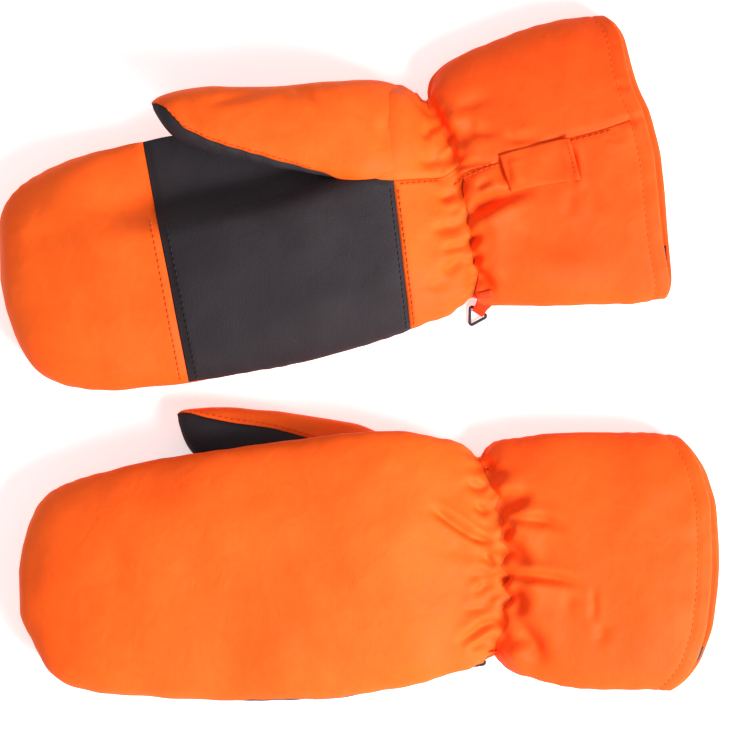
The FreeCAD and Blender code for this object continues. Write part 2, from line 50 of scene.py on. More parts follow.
# index-side (x, y), little-finger-side (x, y), palm thickness, back thickness, seam heights (mm), bow
BODY = {
    "right": [
        (-1, 224, 0, 278, 19, 15.0, 15.0, 15.0, 0),
        (3, 208, 5, 305, 19, 15.0, 15.0, 15.0, 0),
        (14, 191, 15, 338, 19, 15.0, 15.0, 15.0, 0),
        (32, 176, 38, 373, 19.5, 15.0, 15.0, 15.0, 0),
        (60, 162, 74, 388, 20, 15.2, 15.0, 15.0, 0),
        (98, 150, 122, 390.5, 20.5, 15.6, 15.3, 15.3, 0),
        (143, 140, 190, 384, 21, 16.2, 15.8, 15.8, 0),
        (190, 130, 235, 377, 22, 16.4, 16.0, 16.0, 0),
        (240, 121, 285, 368, 22, 16.4, 16.0, 16.0, 0),
        (290, 109, 330, 357, 22, 16.4, 16.0, 16.0, 0),
        (335, 92, 372, 345, 22, 16.4, 16.0, 16.0, 0),
        (370, 83, 400, 336, 22, 16.2, 16.0, 16.0, 0),
        (398, 86, 428, 324, 19, 14.5, 15.5, 15.5, 0),
        (414, 93, 452, 311, 15, 12.0, 14.5, 14.5, 0),
        (422, 97, 470, 303, 12, 10.0, 14.0, 14.0, 0),
        (430, 88, 482, 303, 13, 11.0, 14.0, 14.0, 0),
        (442, 68, 496, 303, 15, 12.5, 13.8, 13.8, 1),
        (462, 52, 518, 307, 16, 13.5, 13.6, 13.6, 3),
        (494, 38, 552, 308, 17, 13.7, 13.5, 13.5, 8),
        (535, 24, 594, 307, 17, 13.7, 13.5, 13.5, 14),
        (570, 17, 632, 305, 17, 13.7, 13.5, 13.5, 20),
        (602, 13, 664, 302, 16, 13.7, 13.5, 13.5, 26),
    ],
    "left": [
        (19, 573, 20, 612, 19, 15.0, 19.3, 19.3, 0),
        (22, 548, 24, 626, 19, 15.0, 19.3, 19.3, 0),
        (30, 519, 34, 645, 19, 15.0, 19.5, 19.3, 0),
        (47, 494, 53, 675, 19.5, 15.0, 20.1, 19.5, 0),
        (75, 479, 88, 691, 20, 15.2, 21.3, 19.5, 0),
        (112, 467, 135, 696, 20.5, 15.6, 23.6, 18.8, 0),
        (155, 457, 192, 700, 21, 16.2, 26.4, 17.6, 0),
        (205, 449, 245, 702, 22, 16.4, 29.0, 17.0, 0),
        (256, 442, 290, 701, 22, 16.4, 30.0, 16.8, 0),
        (305, 436, 335, 699, 22, 16.4, 30.0, 16.8, 0),
        (352, 431, 378, 693, 22, 16.4, 29.2, 17.0, 0),
        (395, 429, 416, 686, 21.5, 16.2, 26.0, 17.6, 0),
        (432, 435, 448, 676, 18.6, 14.5, 21.4, 17.4, 0),
        (458, 444, 474, 667, 15, 12.0, 17.4, 16.6, 0),
        (476, 452, 489, 661, 12, 10.0, 15.5, 15.5, 0),
        (484, 450, 498, 662, 13, 11.0, 15.3, 15.3, 0),
        (495, 443, 511, 671, 15, 12.5, 15.6, 15.6, 1),
        (515, 437, 529, 680, 16, 13.5, 17.4, 17.4, 3),
        (552, 432, 562, 688, 17, 13.7, 18.7, 18.7, 9),
        (600, 430, 604, 691, 17, 13.7, 18.7, 18.7, 16),
        (645, 431, 642, 691.5, 17, 13.7, 18.2, 18.2, 24),
        (675, 434, 668, 693, 16, 13.7, 15.8, 15.8, 47),
    ],
}
THUMB = {
    "right": [
        (152, 104, 154, 110, 11, 7.5, 33.2, 33.2, 0),
        (157, 99.5, 160, 121, 11, 7.5, 33.2, 33.2, 0),
        (165, 95.5, 170, 134, 11.5, 7.8, 33.2, 33.2, 0),
        (180, 91, 186, 145, 11.5, 8.0, 33.2, 33.2, 0),
        (208, 87.5, 214, 156, 12, 8.2, 33.2, 33.2, 0),
        (248, 87.5, 250, 164, 12, 8.4, 33.2, 33.2, 0),
        (290, 86.5, 292, 172, 12, 8.2, 33.2, 33.2, 0),
        (329, 82, 336, 181, 12, 8.4, 32.8, 32.8, 0),
        (362, 80, 380, 187, 12.0, 8.6, 29.0, 31.0, 0),
        (391, 84, 414, 188, 10.0, 8, 21.5, 26.5, 0),
        (420, 99, 442, 184, 6, 5, 14.0, 18.5, 0),
    ],
    "left": [
        (177, 414, 178, 421, 11, 7.5, 11.8, 11.8, 0),
        (181, 410.5, 183, 437, 11, 7.5, 11.8, 11.8, 0),
        (190, 408.5, 192, 452, 11.5, 7.8, 11.8, 11.8, 0),
        (206, 407.5, 210, 466, 11.5, 8.0, 11.8, 11.8, 0),
        (234, 407.5, 239, 477, 12, 8.2, 11.8, 11.8, 0),
        (272, 410, 276, 486, 12, 8.4, 11.8, 11.8, 0),
        (309, 415, 313, 494, 12, 8.2, 11.8, 11.8, 0),
        (345, 421, 350, 502, 12, 7.8, 12.2, 12.2, 0),
        (375, 430, 384, 506, 11, 8, 13.5, 12.8, 0),
        (400, 442, 414, 508, 9, 7, 15, 13.2, 0),
        (420, 455, 436, 505, 6, 5, 16, 14.5, 0),
    ],
}
THUMB_TIP = [0.0, 0.40, 0.75, 1.08, 1.35, math.pi / 2]


def nat(ys):
    n = len(ys)
    A = np.zeros((n, n)); r = np.zeros(n)
    A[0, 0] = A[-1, -1] = 1
    for i in range(1, n - 1):
        A[i, i - 1], A[i, i], A[i, i + 1] = 1, 4, 1
        r[i] = 6 * (ys[i + 1] - 2 * ys[i] + ys[i - 1])
    m = np.linalg.solve(A, r)
    ys = np.array(ys, float)
    def f(s):
        s = np.asarray(s, float)
        i = np.clip(np.floor(s).astype(int), 0, n - 2)
        t = s - i
        return (1 - t) * ys[i] + t * ys[i + 1] + ((1 - t) ** 3 - (1 - t)) * m[i] / 6 + (t ** 3 - t) * m[i + 1] / 6
    return f


def smooth(x, lo, hi):
    t = np.clip((x - lo) / (hi - lo), 0, 1)
    return t * t * (3 - 2 * t)


def full(t):
    return np.maximum(1 - np.abs(t) ** EDGE_P, 0) ** (1 / EDGE_Q)


_raw = -np.cos(np.pi * np.arange(401) / 400)
_run = np.concatenate([[0], np.cumsum(np.hypot(np.diff(_raw), 0.36 * np.diff(full(_raw))))])
_run /= _run[-1]


def t_at(v):
    return np.interp(v, _run, _raw)


def v_at(t):
    return np.interp(t, _raw, _run)


MOUTH = {
    1: ([-1, -0.96, -0.87, -0.57, -0.25, 0, 0.294, 0.45, 0.605, 0.826, 0.93, 1], [0, 0.24, 0.44, 0.66, 0.92, 1.08, 1.0, 0.76, 0.68, 0.62, 0.36, 0]),
    -1: ([-1, -0.97, -0.9, -0.75, -0.5, -0.2, 0, 0.2, 0.5, 0.75, 0.9, 0.97, 1], [0, 0.12, 0.34, 0.66, 0.91, 1, 1.01, 0.99, 0.91, 0.66, 0.34, 0.12, 0]),
}


class Form:
    def __init__(self, rows, up, tip, dent=False):
        self.up, self.dent, self.n = up, dent, len(rows)
        c = list(zip(*rows))
        self.ax = nat([(x - OU[0]) * GRID for x in c[0]])
        self.ay = nat([(OU[1] - y) * GRID for y in c[1]])
        self.bx = nat([(x - OU[0]) * GRID for x in c[2]])
        self.by = nat([(OU[1] - y) * GRID for y in c[3]])
        self.tp = nat([v * 1e-3 for v in c[4]]); self.tb = nat([v * 1e-3 for v in c[5]])
        self.za = nat([v * 1e-3 for v in c[6]]); self.zb = nat([v * 1e-3 for v in c[7]])
        self.bow = nat([v * GRID for v in c[8]])
        self.tip = tip

    def angle(self, s):
        a = self.tip
        out = np.full(np.shape(s), math.pi / 2)
        k = len(a) - 1
        m = s < k
        ss = np.asarray(s)[m]
        i = np.clip(np.floor(ss).astype(int), 0, k - 1)
        t = ss - i
        aa = np.array(a + [a[-1]])
        m0 = np.where(i > 0, (aa[i + 1] - aa[np.maximum(i - 1, 0)]) / 2, aa[1] - aa[0])
        m1 = np.where(i + 2 <= k, (aa[np.minimum(i + 2, k)] - aa[i]) / 2, aa[i + 1] - aa[i])
        out[m] = (2*t**3-3*t**2+1)*aa[i] + (t**3-2*t**2+t)*m0 + (-2*t**3+3*t**2)*aa[i+1] + (t**3-t**2)*m1
        return out

    def point(self, side, s, t, d=0.0, widen=1.0, thicken=1.0):
        """arrays s, t -> (..., 3); d is the depth under the face"""
        s = np.asarray(s, float); t = np.asarray(t, float)
        psi = self.angle(s)
        ax, ay, bx, by = self.ax(s), self.ay(s), self.bx(s), self.by(s)
        cx, cy, hx, hy = (ax + bx) / 2, (ay + by) / 2, (ax - bx) / 2, (ay - by) / 2
        w = np.hypot(hx, hy)
        ux, uy = hx / w, hy / w
        nx, ny = uy, -ux
        sg = np.where(nx < 0, -1, 1)
        nx, ny = nx * sg, ny * sg
        w2 = (w - d * np.tanh(w / 8e-3)) * widen
        late = smooth(s, 17.5, 20.5)
        bowed = (1 - t * t) * (1 - late) + np.interp(t, *MOUTH[self.up]) * late
        push = self.bow(s) * bowed + d * np.cos(psi)
        x = cx + ux * w2 * t + nx * push
        y = cy + uy * w2 * t + ny * push
        seam = (self.za(s) + self.zb(s)) / 2 + (self.za(s) - self.zb(s)) / 2 * t * w2 / w
        thick = self.tp(s) if side > 0 else self.tb(s)
        f = 1.0
        if self.dent and side > 0:
            along = smooth(s, 4.0, 6.2) * (1 - smooth(s, 9.85, 11.6))
            f = 1 - 0.74 * along * smooth(t, 0.22, 0.54)
        h = full(t) * (thick * f * thicken - d) * np.sin(psi)
        z = seam + self.up * side * h
        return np.stack([x, y, z], -1)


def rows_for(form, s0, s1, step):
    ss = np.linspace(s0, s1, 4000)
    p = form.point(1, ss, np.zeros_like(ss)); q = form.point(-1, ss, np.zeros_like(ss))
    pa = form.point(1, ss, np.ones_like(ss)); pb = form.point(1, ss, -np.ones_like(ss))
    L = np.zeros(len(ss))
    for c in (p, q, pa, pb):
        L[1:] += np.cumsum(np.linalg.norm(np.diff(c, axis=0), axis=1)) / 4
    n = max(int(round(L[-1] / step)), 2)
    return n, lambda k: np.interp(np.asarray(k) / n * L[-1], L, ss), lambda s: np.interp(s, ss, L) / L[-1] * n

class Skin:
    """A closed tube of cloth on a form: palm columns 0..K, then back columns K+1..2K-1."""
    def __init__(self, form, s0, s1, step, K, marks=()):
        self.form, self.K = form, K
        n, s_of, k_of = rows_for(form, s0, s1, step)
        svals = s_of(np.arange(n + 1))
        for m in marks:  # snap a row to each marked rib value
            k = int(np.argmin(np.abs(svals - m)))
            svals[k] = m
        self.s = svals; self.n = n + 1
        v = np.arange(K + 1) / K
        self.t = t_at(v)
        tt = np.concatenate([self.t, self.t[1:-1][::-1]])
        side = np.array([1] * (K + 1) + [-1] * (K - 1))
        self.tt, self.side = tt, side
        self.M = 2 * K
        idx = np.zeros((self.n, self.M), int)
        c = 0
        for j in range(self.M):
            if j <= K: idx[0, j] = c; c += 1
            else: idx[0, j] = idx[0, 2 * K - j]
        for i in range(1, self.n):
            for j in range(self.M):
                idx[i, j] = c; c += 1
        self.idx, self.nv = idx, c
    def coords(self, d=0.0, widen=lambda s: 1.0, thicken=lambda s: 1.0, stretch=None):
        S = np.repeat(self.s[:, None], self.M, 1); T = np.repeat(self.tt[None, :], self.n, 0)
        W = widen(S); H = thicken(S)
        P = np.where((self.side > 0)[None, :, None], self.form.point(1, S, T, d, W, H), self.form.point(-1, S, T, d, W, H))
        out = np.zeros((self.nv, 3))
        out[self.idx.ravel()] = P.reshape(-1, 3)
        return out
    def faces(self):
        f = []
        I, M = self.idx, self.M
        for i in range(self.n - 1):
            for j in range(M):
                j2 = (j + 1) % M
                a, b, c, d = I[i, j], I[i, j2], I[i + 1, j2], I[i + 1, j]
                q = [a, b, c, d]
                if len(set(q)) < 3: continue
                if self.form.up > 0: q = q[::-1]
                r = []
                for x in q:
                    if x not in r: r.append(x)
                f.append(r)
        return f

def cloth(name, P0, Prest, faces, pins, frames=25, pressure=2.5, tension=15, bend=0.5, quality=6, mass=0.15, pin_k=1.0, comp=15):
    me = bpy.data.meshes.new(name); me.from_pydata(P0.tolist(), [], faces); me.update()
    ob = bpy.data.objects.new(name, me); bpy.context.scene.collection.objects.link(ob)
    ob.shape_key_add(name='Basis')
    rk = ob.shape_key_add(name='rest'); rk.data.foreach_set('co', Prest.ravel())
    rk.value = 0.0
    g = ob.vertex_groups.new(name='pin')
    for w in np.unique(np.round(pins, 3)):
        if w > 0: g.add(np.nonzero(np.round(pins, 3) == w)[0].tolist(), float(w), 'REPLACE')
    m = ob.modifiers.new('c', 'CLOTH'); s = m.settings
    s.quality = quality; s.mass = mass; s.tension_stiffness = tension; s.compression_stiffness = comp; s.shear_stiffness = 5
    s.bending_stiffness = bend; s.tension_damping = 5; s.compression_damping = 5; s.shear_damping = 5; s.bending_damping = 0.5; s.air_damping = 2
    s.use_pressure = pressure > 0; s.uniform_pressure_force = pressure
    s.vertex_group_mass = 'pin'; s.pin_stiffness = pin_k
    s.rest_shape_key = rk
    s.effector_weights.gravity = 0.0
    m.collision_settings.use_collision = False
    m.point_cache.frame_start = 1; m.point_cache.frame_end = frames
    sc = bpy.context.scene
    for f in range(1, frames + 1): sc.frame_set(f)
    dg = bpy.context.evaluated_depsgraph_get()
    ev = ob.evaluated_get(dg); co = np.zeros(len(P0) * 3); ev.data.vertices.foreach_get('co', co)
    bpy.data.objects.remove(ob)
    sc.frame_set(1)
    return co.reshape(-1, 3)

# ---------------------------------------------------------------- small tools
def blur(G, si, sj, periodic=True):
    """gaussian blur of a (rows, cols, 3) grid, closed round the columns"""
    def kern(s):
        r = int(math.ceil(3 * s)); x = np.arange(-r, r + 1); k = np.exp(-x * x / (2 * s * s)); return k / k.sum(), r
    k, r = kern(si)
    H = np.concatenate([np.repeat(G[:1], r, 0), G, np.repeat(G[-1:], r, 0)], 0)
    G = sum(k[q] * H[q:q + G.shape[0]] for q in range(2 * r + 1))
    k, r = kern(sj)
    H = np.concatenate([G[:, -r:], G, G[:, :r]], 1)
    return sum(k[q] * H[:, q:q + G.shape[1]] for q in range(2 * r + 1))


def grid_normals(G, flip):
    du = np.zeros_like(G); du[1:-1] = G[2:] - G[:-2]; du[0] = G[1] - G[0]; du[-1] = G[-1] - G[-2]
    dv = np.roll(G, -1, 1) - np.roll(G, 1, 1)
    n = np.cross(dv, du)
    n /= np.linalg.norm(n, axis=-1, keepdims=True) + 1e-12
    return n * flip


def sample(G, i, j):
    """bilinear point of grid G at rows i, columns j"""
    i = np.clip(np.asarray(i, float), 0, G.shape[0] - 1.001); j = np.asarray(j, float) % G.shape[1]
    a, b = np.floor(i).astype(int), np.floor(j).astype(int)
    u, v = (i - a)[..., None], (j - b)[..., None]
    b2 = (b + 1) % G.shape[1]
    return (1 - u) * ((1 - v) * G[a, b] + v * G[a, b2]) + u * ((1 - v) * G[a + 1, b] + v * G[a + 1, b2])


def noise3(P, scale, seed):
    """smooth value noise in -1..1 at points P, repeatable"""
    rng = np.random.default_rng(seed)
    tab = rng.uniform(-1, 1, 4096)
    q = P / scale + 100.0
    i = np.floor(q).astype(int); f = q - i; f = f * f * (3 - 2 * f)
    def h(a, b, c): return tab[(a * 73 + b * 179 + c * 283) % 4096]
    out = 0
    for dx in (0, 1):
        for dy in (0, 1):
            for dz in (0, 1):
                w = (f[..., 0] if dx else 1 - f[..., 0]) * (f[..., 1] if dy else 1 - f[..., 1]) * (f[..., 2] if dz else 1 - f[..., 2])
                out = out + w * h(i[..., 0] + dx, i[..., 1] + dy, i[..., 2] + dz)
    return out


def new_mesh(name, verts, faces, mat=None, normals=None, smooth=True):
    me = bpy.data.meshes.new(name)
    me.from_pydata([tuple(v) for v in np.asarray(verts).tolist()], [], [list(map(int, f)) for f in faces])
    me.update()
    if smooth: me.polygons.foreach_set("use_smooth", [True] * len(me.polygons))
    ob = bpy.data.objects.new(name, me)
    bpy.context.scene.collection.objects.link(ob)
    if mat is not None:
        for m in (mat if isinstance(mat, (list, tuple)) else [mat]): me.materials.append(m)
    if normals is not None: me.normals_split_custom_set_from_vertices([tuple(n) for n in normals.tolist()])
    return ob


def tube(path, r, closed=False, sides=8):
    P = np.asarray(path, float); n = len(P)
    T = np.roll(P, -1, 0) - np.roll(P, 1, 0) if closed else np.gradient(P, axis=0)
    T /= np.linalg.norm(T, axis=1)[:, None]
    ref = np.array([0, 0, 1.0]) if abs(T[0][2]) < 0.9 else np.array([1.0, 0, 0])
    U = np.cross(T, ref); U /= np.linalg.norm(U, axis=1)[:, None]
    W = np.cross(T, U)
    a = np.arange(sides) / sides * 2 * math.pi
    V = P[:, None] + r * (np.cos(a)[None, :, None] * U[:, None] + np.sin(a)[None, :, None] * W[:, None])
    f = []
    for i in range(n if closed else n - 1):
        for k in range(sides):
            i2, k2 = (i + 1) % n, (k + 1) % sides
            f.append([i * sides + k, i2 * sides + k, i2 * sides + k2, i * sides + k2])
    if not closed:
        f.append(list(range(sides))); f.append([(n - 1) * sides + k for k in range(sides)][::-1])
    return V.reshape(-1, 3), f


class Thread:
    """rows of short raised stitches collected into one mesh"""
    def __init__(self): self.v, self.f, self.c = [], [], 0
    def row(self, P, N, pitch=3.0e-3, length=2.2e-3, r=0.28e-3, lift=0.15e-3):
        P = np.asarray(P, float); N = np.asarray(N, float)
        L = np.concatenate([[0], np.cumsum(np.linalg.norm(np.diff(P, axis=0), axis=1))])
        n = int(L[-1] / pitch)
        for k in range(n):
            a = (k + 0.5) * pitch - length / 2
            q = np.linspace(a, a + length, 5)
            pts = np.stack([np.interp(q, L, P[:, c]) for c in range(3)], 1)
            nn = np.stack([np.interp(q, L, N[:, c]) for c in range(3)], 1)
            nn /= np.linalg.norm(nn, axis=1)[:, None] + 1e-12
            arch = np.array([-1.2, 0.55, 0.9, 0.55, -1.2]) * r
            pts = pts + nn * (arch + lift)[:, None]
            v, f = tube(pts, r, sides=5)
            self.v.append(v); self.f += [[i + self.c for i in g] for g in f]; self.c += len(v)
    def build(self, name, mat):
        return new_mesh(name, np.concatenate(self.v), self.f, mat) if self.v else None


# ---------------------------------------------------------------- materials
def nodes_of(name):
    m = bpy.data.materials.new(name); m.use_nodes = True
    nt = m.node_tree
    return m, nt, nt.nodes["Principled BSDF"]


def nd(nt, kind, **k):
    n = nt.nodes.new(kind)
    for a, b in k.items():
        if a in ("operation", "blend_type", "wave_type", "bands_direction", "data_type", "feature", "noise_dimensions", "wave_profile"): setattr(n, a, b)
        else: n.inputs[a].default_value = b
    return n


def cloth_material(name, dark, mid, light, pitch=0.55e-3, rough=0.55, sheen=0.25, weave=0.25, crinkle=0.35, grain=0.0, spec=0.35, coat=0.0):
    """woven or grained sheet: slow colour drift, fine yarn relief, crinkle relief and roughness variation"""
    m, nt, b = nodes_of(name)
    l = nt.links
    tc = nt.nodes.new("ShaderNodeTexCoord")
    n1 = nd(nt, "ShaderNodeTexNoise", Scale=14.0, Detail=3.0, Roughness=0.55); l.new(tc.outputs["Object"], n1.inputs["Vector"])
    n2 = nd(nt, "ShaderNodeTexNoise", Scale=160.0, Detail=4.0, Roughness=0.6); l.new(tc.outputs["Object"], n2.inputs["Vector"])
    mixn = nd(nt, "ShaderNodeMath", operation="MULTIPLY_ADD"); l.new(n2.outputs["Fac"], mixn.inputs[0]); mixn.inputs[1].default_value = 0.35; l.new(n1.outputs["Fac"], mixn.inputs[2])
    r = nt.nodes.new("ShaderNodeValToRGB"); cr = r.color_ramp
    cr.elements[0].position = 0.42; cr.elements[0].color = (*dark, 1)
    cr.elements[1].position = 0.95; cr.elements[1].color = (*light, 1)
    e = cr.elements.new(0.68); e.color = (*mid, 1)
    l.new(mixn.outputs[0], r.inputs["Fac"]); l.new(r.outputs["Color"], b.inputs["Base Color"])
    mr = nd(nt, "ShaderNodeMath", operation="MULTIPLY_ADD"); l.new(n2.outputs["Fac"], mr.inputs[0]); mr.inputs[1].default_value = 0.22; mr.inputs[2].default_value = rough - 0.11
    l.new(mr.outputs[0], b.inputs["Roughness"])
    b.inputs["Specular IOR Level"].default_value = spec
    b.inputs["Sheen Weight"].default_value = sheen
    b.inputs["Sheen Roughness"].default_value = 0.45
    b.inputs["Sheen Tint"].default_value = (*light, 1)
    if coat: b.inputs["Coat Weight"].default_value = coat; b.inputs["Coat Roughness"].default_value = 0.4
    # relief
    h = None
    if weave:
        sc = 1.0 / pitch / 3.1416 * 0.5 * 3.1416 / 10  # wave texture repeats about 20/scale per unit
        w1 = nd(nt, "ShaderNodeTexWave", wave_type="BANDS", bands_direction="X", Scale=1.0 / pitch / 20 * 6.2832 / 2, Distortion=0.6, Detail=1.0)
        w2 = nd(nt, "ShaderNodeTexWave", wave_type="BANDS", bands_direction="Y", Scale=1.0 / pitch / 20 * 6.2832 / 2, Distortion=0.6, Detail=1.0)
        for w in (w1, w2): l.new(tc.outputs["Object"], w.inputs["Vector"])
        mx = nd(nt, "ShaderNodeMath", operation="MULTIPLY"); l.new(w1.outputs["Fac"], mx.inputs[0]); l.new(w2.outputs["Fac"], mx.inputs[1])
        bw = nt.nodes.new("ShaderNodeBump"); bw.inputs["Strength"].default_value = weave; bw.inputs["Distance"].default_value = 0.00012
        l.new(mx.outputs[0], bw.inputs["Height"]); h = bw
    if grain:
        vo = nd(nt, "ShaderNodeTexVoronoi", feature="F1", Scale=900.0); l.new(tc.outputs["Object"], vo.inputs["Vector"])
        bg = nt.nodes.new("ShaderNodeBump"); bg.inputs["Strength"].default_value = grain; bg.inputs["Distance"].default_value = 0.0003
        l.new(vo.outputs["Distance"], bg.inputs["Height"])
        if h: l.new(h.outputs["Normal"], bg.inputs["Normal"])
        h = bg
    cn = nd(nt, "ShaderNodeTexNoise", Scale=95.0, Detail=5.0, Roughness=0.5, Distortion=0.8); l.new(tc.outputs["Object"], cn.inputs["Vector"])
    bc = nt.nodes.new("ShaderNodeBump"); bc.inputs["Strength"].default_value = crinkle; bc.inputs["Distance"].default_value = 0.0016
    l.new(cn.outputs["Fac"], bc.inputs["Height"])
    if h: l.new(h.outputs["Normal"], bc.inputs["Normal"])
    l.new(bc.outputs["Normal"], b.inputs["Normal"])
    return m


ORANGE = cloth_material("shell_nylon", (0.93, 0.090, 0.0060), (0.98, 0.110, 0.0078), (1.0, 0.135, 0.011), rough=0.62, sheen=0.04, spec=0.16, crinkle=0.30)
# cuff nylon is the shell fabric made darker and redder: painted shade for the cuff, which falls into shadow beyond the
# elastic
CUFF_PAINTED_SHADE = cloth_material("cuff_nylon_painted_shade", (0.93, 0.072, 0.0048), (0.97, 0.086, 0.0062), (1.0, 0.105, 0.0085), rough=0.62, sheen=0.04, spec=0.16, crinkle=0.30)
BLACK = cloth_material("grip_leather", (0.018, 0.0135, 0.0165), (0.024, 0.018, 0.0215), (0.034, 0.026, 0.030), rough=0.72, sheen=0.05, weave=0.25, grain=0.30, crinkle=0.2, spec=0.22)
FLEECE = cloth_material("lining_fleece", (0.016, 0.016, 0.018), (0.028, 0.028, 0.031), (0.05, 0.05, 0.055), rough=0.9, sheen=0.5, weave=0.0, grain=0.8, crinkle=0.6, spec=0.1)
WEB = cloth_material("webbing", (0.85, 0.040, 0.004), (0.92, 0.052, 0.005), (0.97, 0.070, 0.008), pitch=0.9e-3, rough=0.6, weave=0.9, crinkle=0.1, sheen=0.03, spec=0.2)
THREAD_O = cloth_material("thread_orange", (0.85, 0.075, 0.006), (0.93, 0.092, 0.0075), (0.98, 0.115, 0.010), pitch=0.3e-3, rough=0.55, weave=0.6, crinkle=0.0, sheen=0.03, spec=0.2)
THREAD_K = cloth_material("thread_black", (0.018, 0.015, 0.018), (0.028, 0.024, 0.028), (0.042, 0.036, 0.040), pitch=0.3e-3, rough=0.6, weave=0.6, crinkle=0.0, sheen=0.03, spec=0.2)
LABEL = cloth_material("label_tape", (0.022, 0.022, 0.024), (0.035, 0.035, 0.038), (0.06, 0.06, 0.065), pitch=0.4e-3, rough=0.7, weave=0.7, crinkle=0.1, sheen=0.03, spec=0.2)
RING = cloth_material("ring_plastic", (0.020, 0.020, 0.022), (0.028, 0.028, 0.030), (0.042, 0.042, 0.045), rough=0.42, sheen=0.0, weave=0.0, grain=0.12, crinkle=0.08, spec=0.4)

# ---------------------------------------------------------------- cloth of one closed tube
STEP, KC = 3.1e-3, 44
WRIST = 14.25


def px(x, y):
    """drafting units to metres"""
    return np.array([(x - OU[0]) * GRID, (OU[1] - y) * GRID])


def body_skin(hand):
    up = 1 if hand == "right" else -1
    F = Form(BODY[hand], up, TIP_ANGLE, dent=True)
    sk = Skin(F, 0, 21, STEP, KC, marks=(6, 11.4, 14, 14.5))
    rng = np.random.default_rng(11 if hand == "right" else 23)
    P0 = sk.coords()
    T = np.zeros(sk.nv); T[sk.idx.ravel()] = np.repeat(sk.tt[None, :], sk.n, 0).ravel()
    S = np.zeros(sk.nv); S[sk.idx.ravel()] = np.repeat(sk.s[:, None], sk.M, 1).ravel()
    ex = lambda s: 1.02 + 0.20 * np.exp(-((s - 14.2) / 1.5) ** 2)
    Pr = sk.coords(widen=ex, thicken=ex)
    cx = Pr[:, 0].mean(); Pr[:, 0] = cx + (Pr[:, 0] - cx) * 1.03
    pins = 0.012 + 0 * S
    pins[np.abs(S - WRIST) < 0.27] = 1.0
    pins[(np.abs(T) > 0.999)] = 0.2
    pins[S > 20.9] = 0.3
    cen = np.stack([(F.ax(S) + F.bx(S)) / 2, (F.ay(S) + F.by(S)) / 2, (F.za(S) + F.zb(S)) / 2], -1)
    out = P0 - cen; out[:, 2] *= 6; out /= np.linalg.norm(out, axis=1)[:, None] + 1e-9
    start = P0 + out * (noise3(P0, 0.020, 5) * 1.0e-3)[:, None]
    P1 = cloth(hand + "_sim", start, Pr, sk.faces(), pins, frames=24, pressure=1.0, bend=2.0, tension=12, comp=10)
    mv = P1 - P0; L = np.linalg.norm(mv, axis=1)
    P1 = P0 + mv * (np.minimum(L, 6e-3) / (L + 1e-12))[:, None]
    G = P1[sk.idx]; G0 = P0[sk.idx]
    # keep the outline of the edge seams
    d0, dK = G0[:, 0] - G[:, 0], G0[:, sk.K] - G[:, sk.K]
    w = ((sk.tt + 1) / 2)[None, :, None]
    add = d0[:, None] * (1 - w) + dK[:, None] * w
    add[..., 2] = 0
    G = G + add
    G = blur(G, 0.7, 0.8)
    front = 1 if hand == "right" else -1
    Sg, Tg = sk.s[:, None], sk.tt[None]
    mid = (G[-1, 0] + G[-1, sk.K]) / 2
    ax = G[-1, sk.K] - G[-1, 0]; ax /= np.linalg.norm(ax[:2])
    n = np.array([ax[1], -ax[0], 0.0]); n = n if n[0] > 0 else -n
    sh = np.where(sk.side[None] == front, 4.2e-3, 0.0) * (1 - np.abs(Tg) ** 3) * smooth(Sg, 18.5, 21)
    G = G - n * sh[..., None]
    return F, sk, G


def mirror_tip(G, K):
    """rows beyond the closed tip, for smooth sampling"""
    M = G.shape[1]
    j = (2 * K - np.arange(M)) % M
    return np.concatenate([G[2:3][:, j], G[1:2][:, j], G, 2 * G[-1:] - G[-2:-1], 3 * G[-1:] - 2 * G[-2:-1]], 0)


class Surf:
    """bicubic sampling of a row grid, with relief added along its normal"""
    def __init__(self, G, sk, relief, flip):
        self.E = mirror_tip(G, sk.K); self.sk = sk; self.relief = relief; self.flip = flip
        self.M = G.shape[1]; self.n = G.shape[0]

    def raw(self, i, j):
        i = np.clip(np.asarray(i, float), 0, self.n - 1) + 2; j = np.asarray(j, float)
        a = np.minimum(np.floor(i).astype(int), self.n + 1); b = np.floor(j).astype(int)
        u, v = (i - a)[..., None], (j - b)[..., None]
        def cr(t): return [(-t + 2 * t * t - t ** 3) / 2, (2 - 5 * t * t + 3 * t ** 3) / 2, (t + 4 * t * t - 3 * t ** 3) / 2, (-t * t + t ** 3) / 2]
        wu, wv = cr(u), cr(v)
        out = 0
        for p in range(4):
            for q in range(4):
                out = out + wu[p] * wv[q] * self.E[np.clip(a - 1 + p, 0, self.E.shape[0] - 1), (b - 1 + q) % self.M]
        return out

    def normal(self, i, j, h=0.35):
        du = self.raw(np.minimum(i + h, self.n - 1), j) - self.raw(np.maximum(i - h, 0), j)
        dv = self.raw(i, j + h) - self.raw(i, j - h)
        n = np.cross(dv, du)
        L = np.linalg.norm(n, axis=-1, keepdims=True)
        bad = L[..., 0] < 1e-10
        n = n / (L + 1e-14) * self.flip
        if bad.any():
            n[bad] = np.array([-1.0, 0, 0])
        return n

    def s_of(self, i): return np.interp(i, np.arange(self.n), self.sk.s)
    def i_of(self, s): return np.interp(s, self.sk.s, np.arange(self.n))
    def t_of(self, j):
        """signed t, and side: +1 palm, -1 back"""
        M, K = self.M, self.sk.K
        j = np.asarray(j, float) % M
        side = np.where(j <= K, 1, -1)
        jj = np.where(j <= K, j, M - j)
        return np.interp(jj, np.arange(K + 1), self.sk.t), side
    def j_of(self, t, side=1):
        j = np.interp(t, self.sk.t, np.arange(self.sk.K + 1))
        return j if side > 0 else self.M - j

    def point(self, i, j):
        P = self.raw(i, j); N = self.normal(i, j)
        t, side = self.t_of(j)
        h = self.relief(P, self.s_of(i), t, side, np.asarray(j, float) % self.M)
        P = P + N * h[..., None]
        P[..., 2] = floor_clamp(P[..., 2])
        return P, N


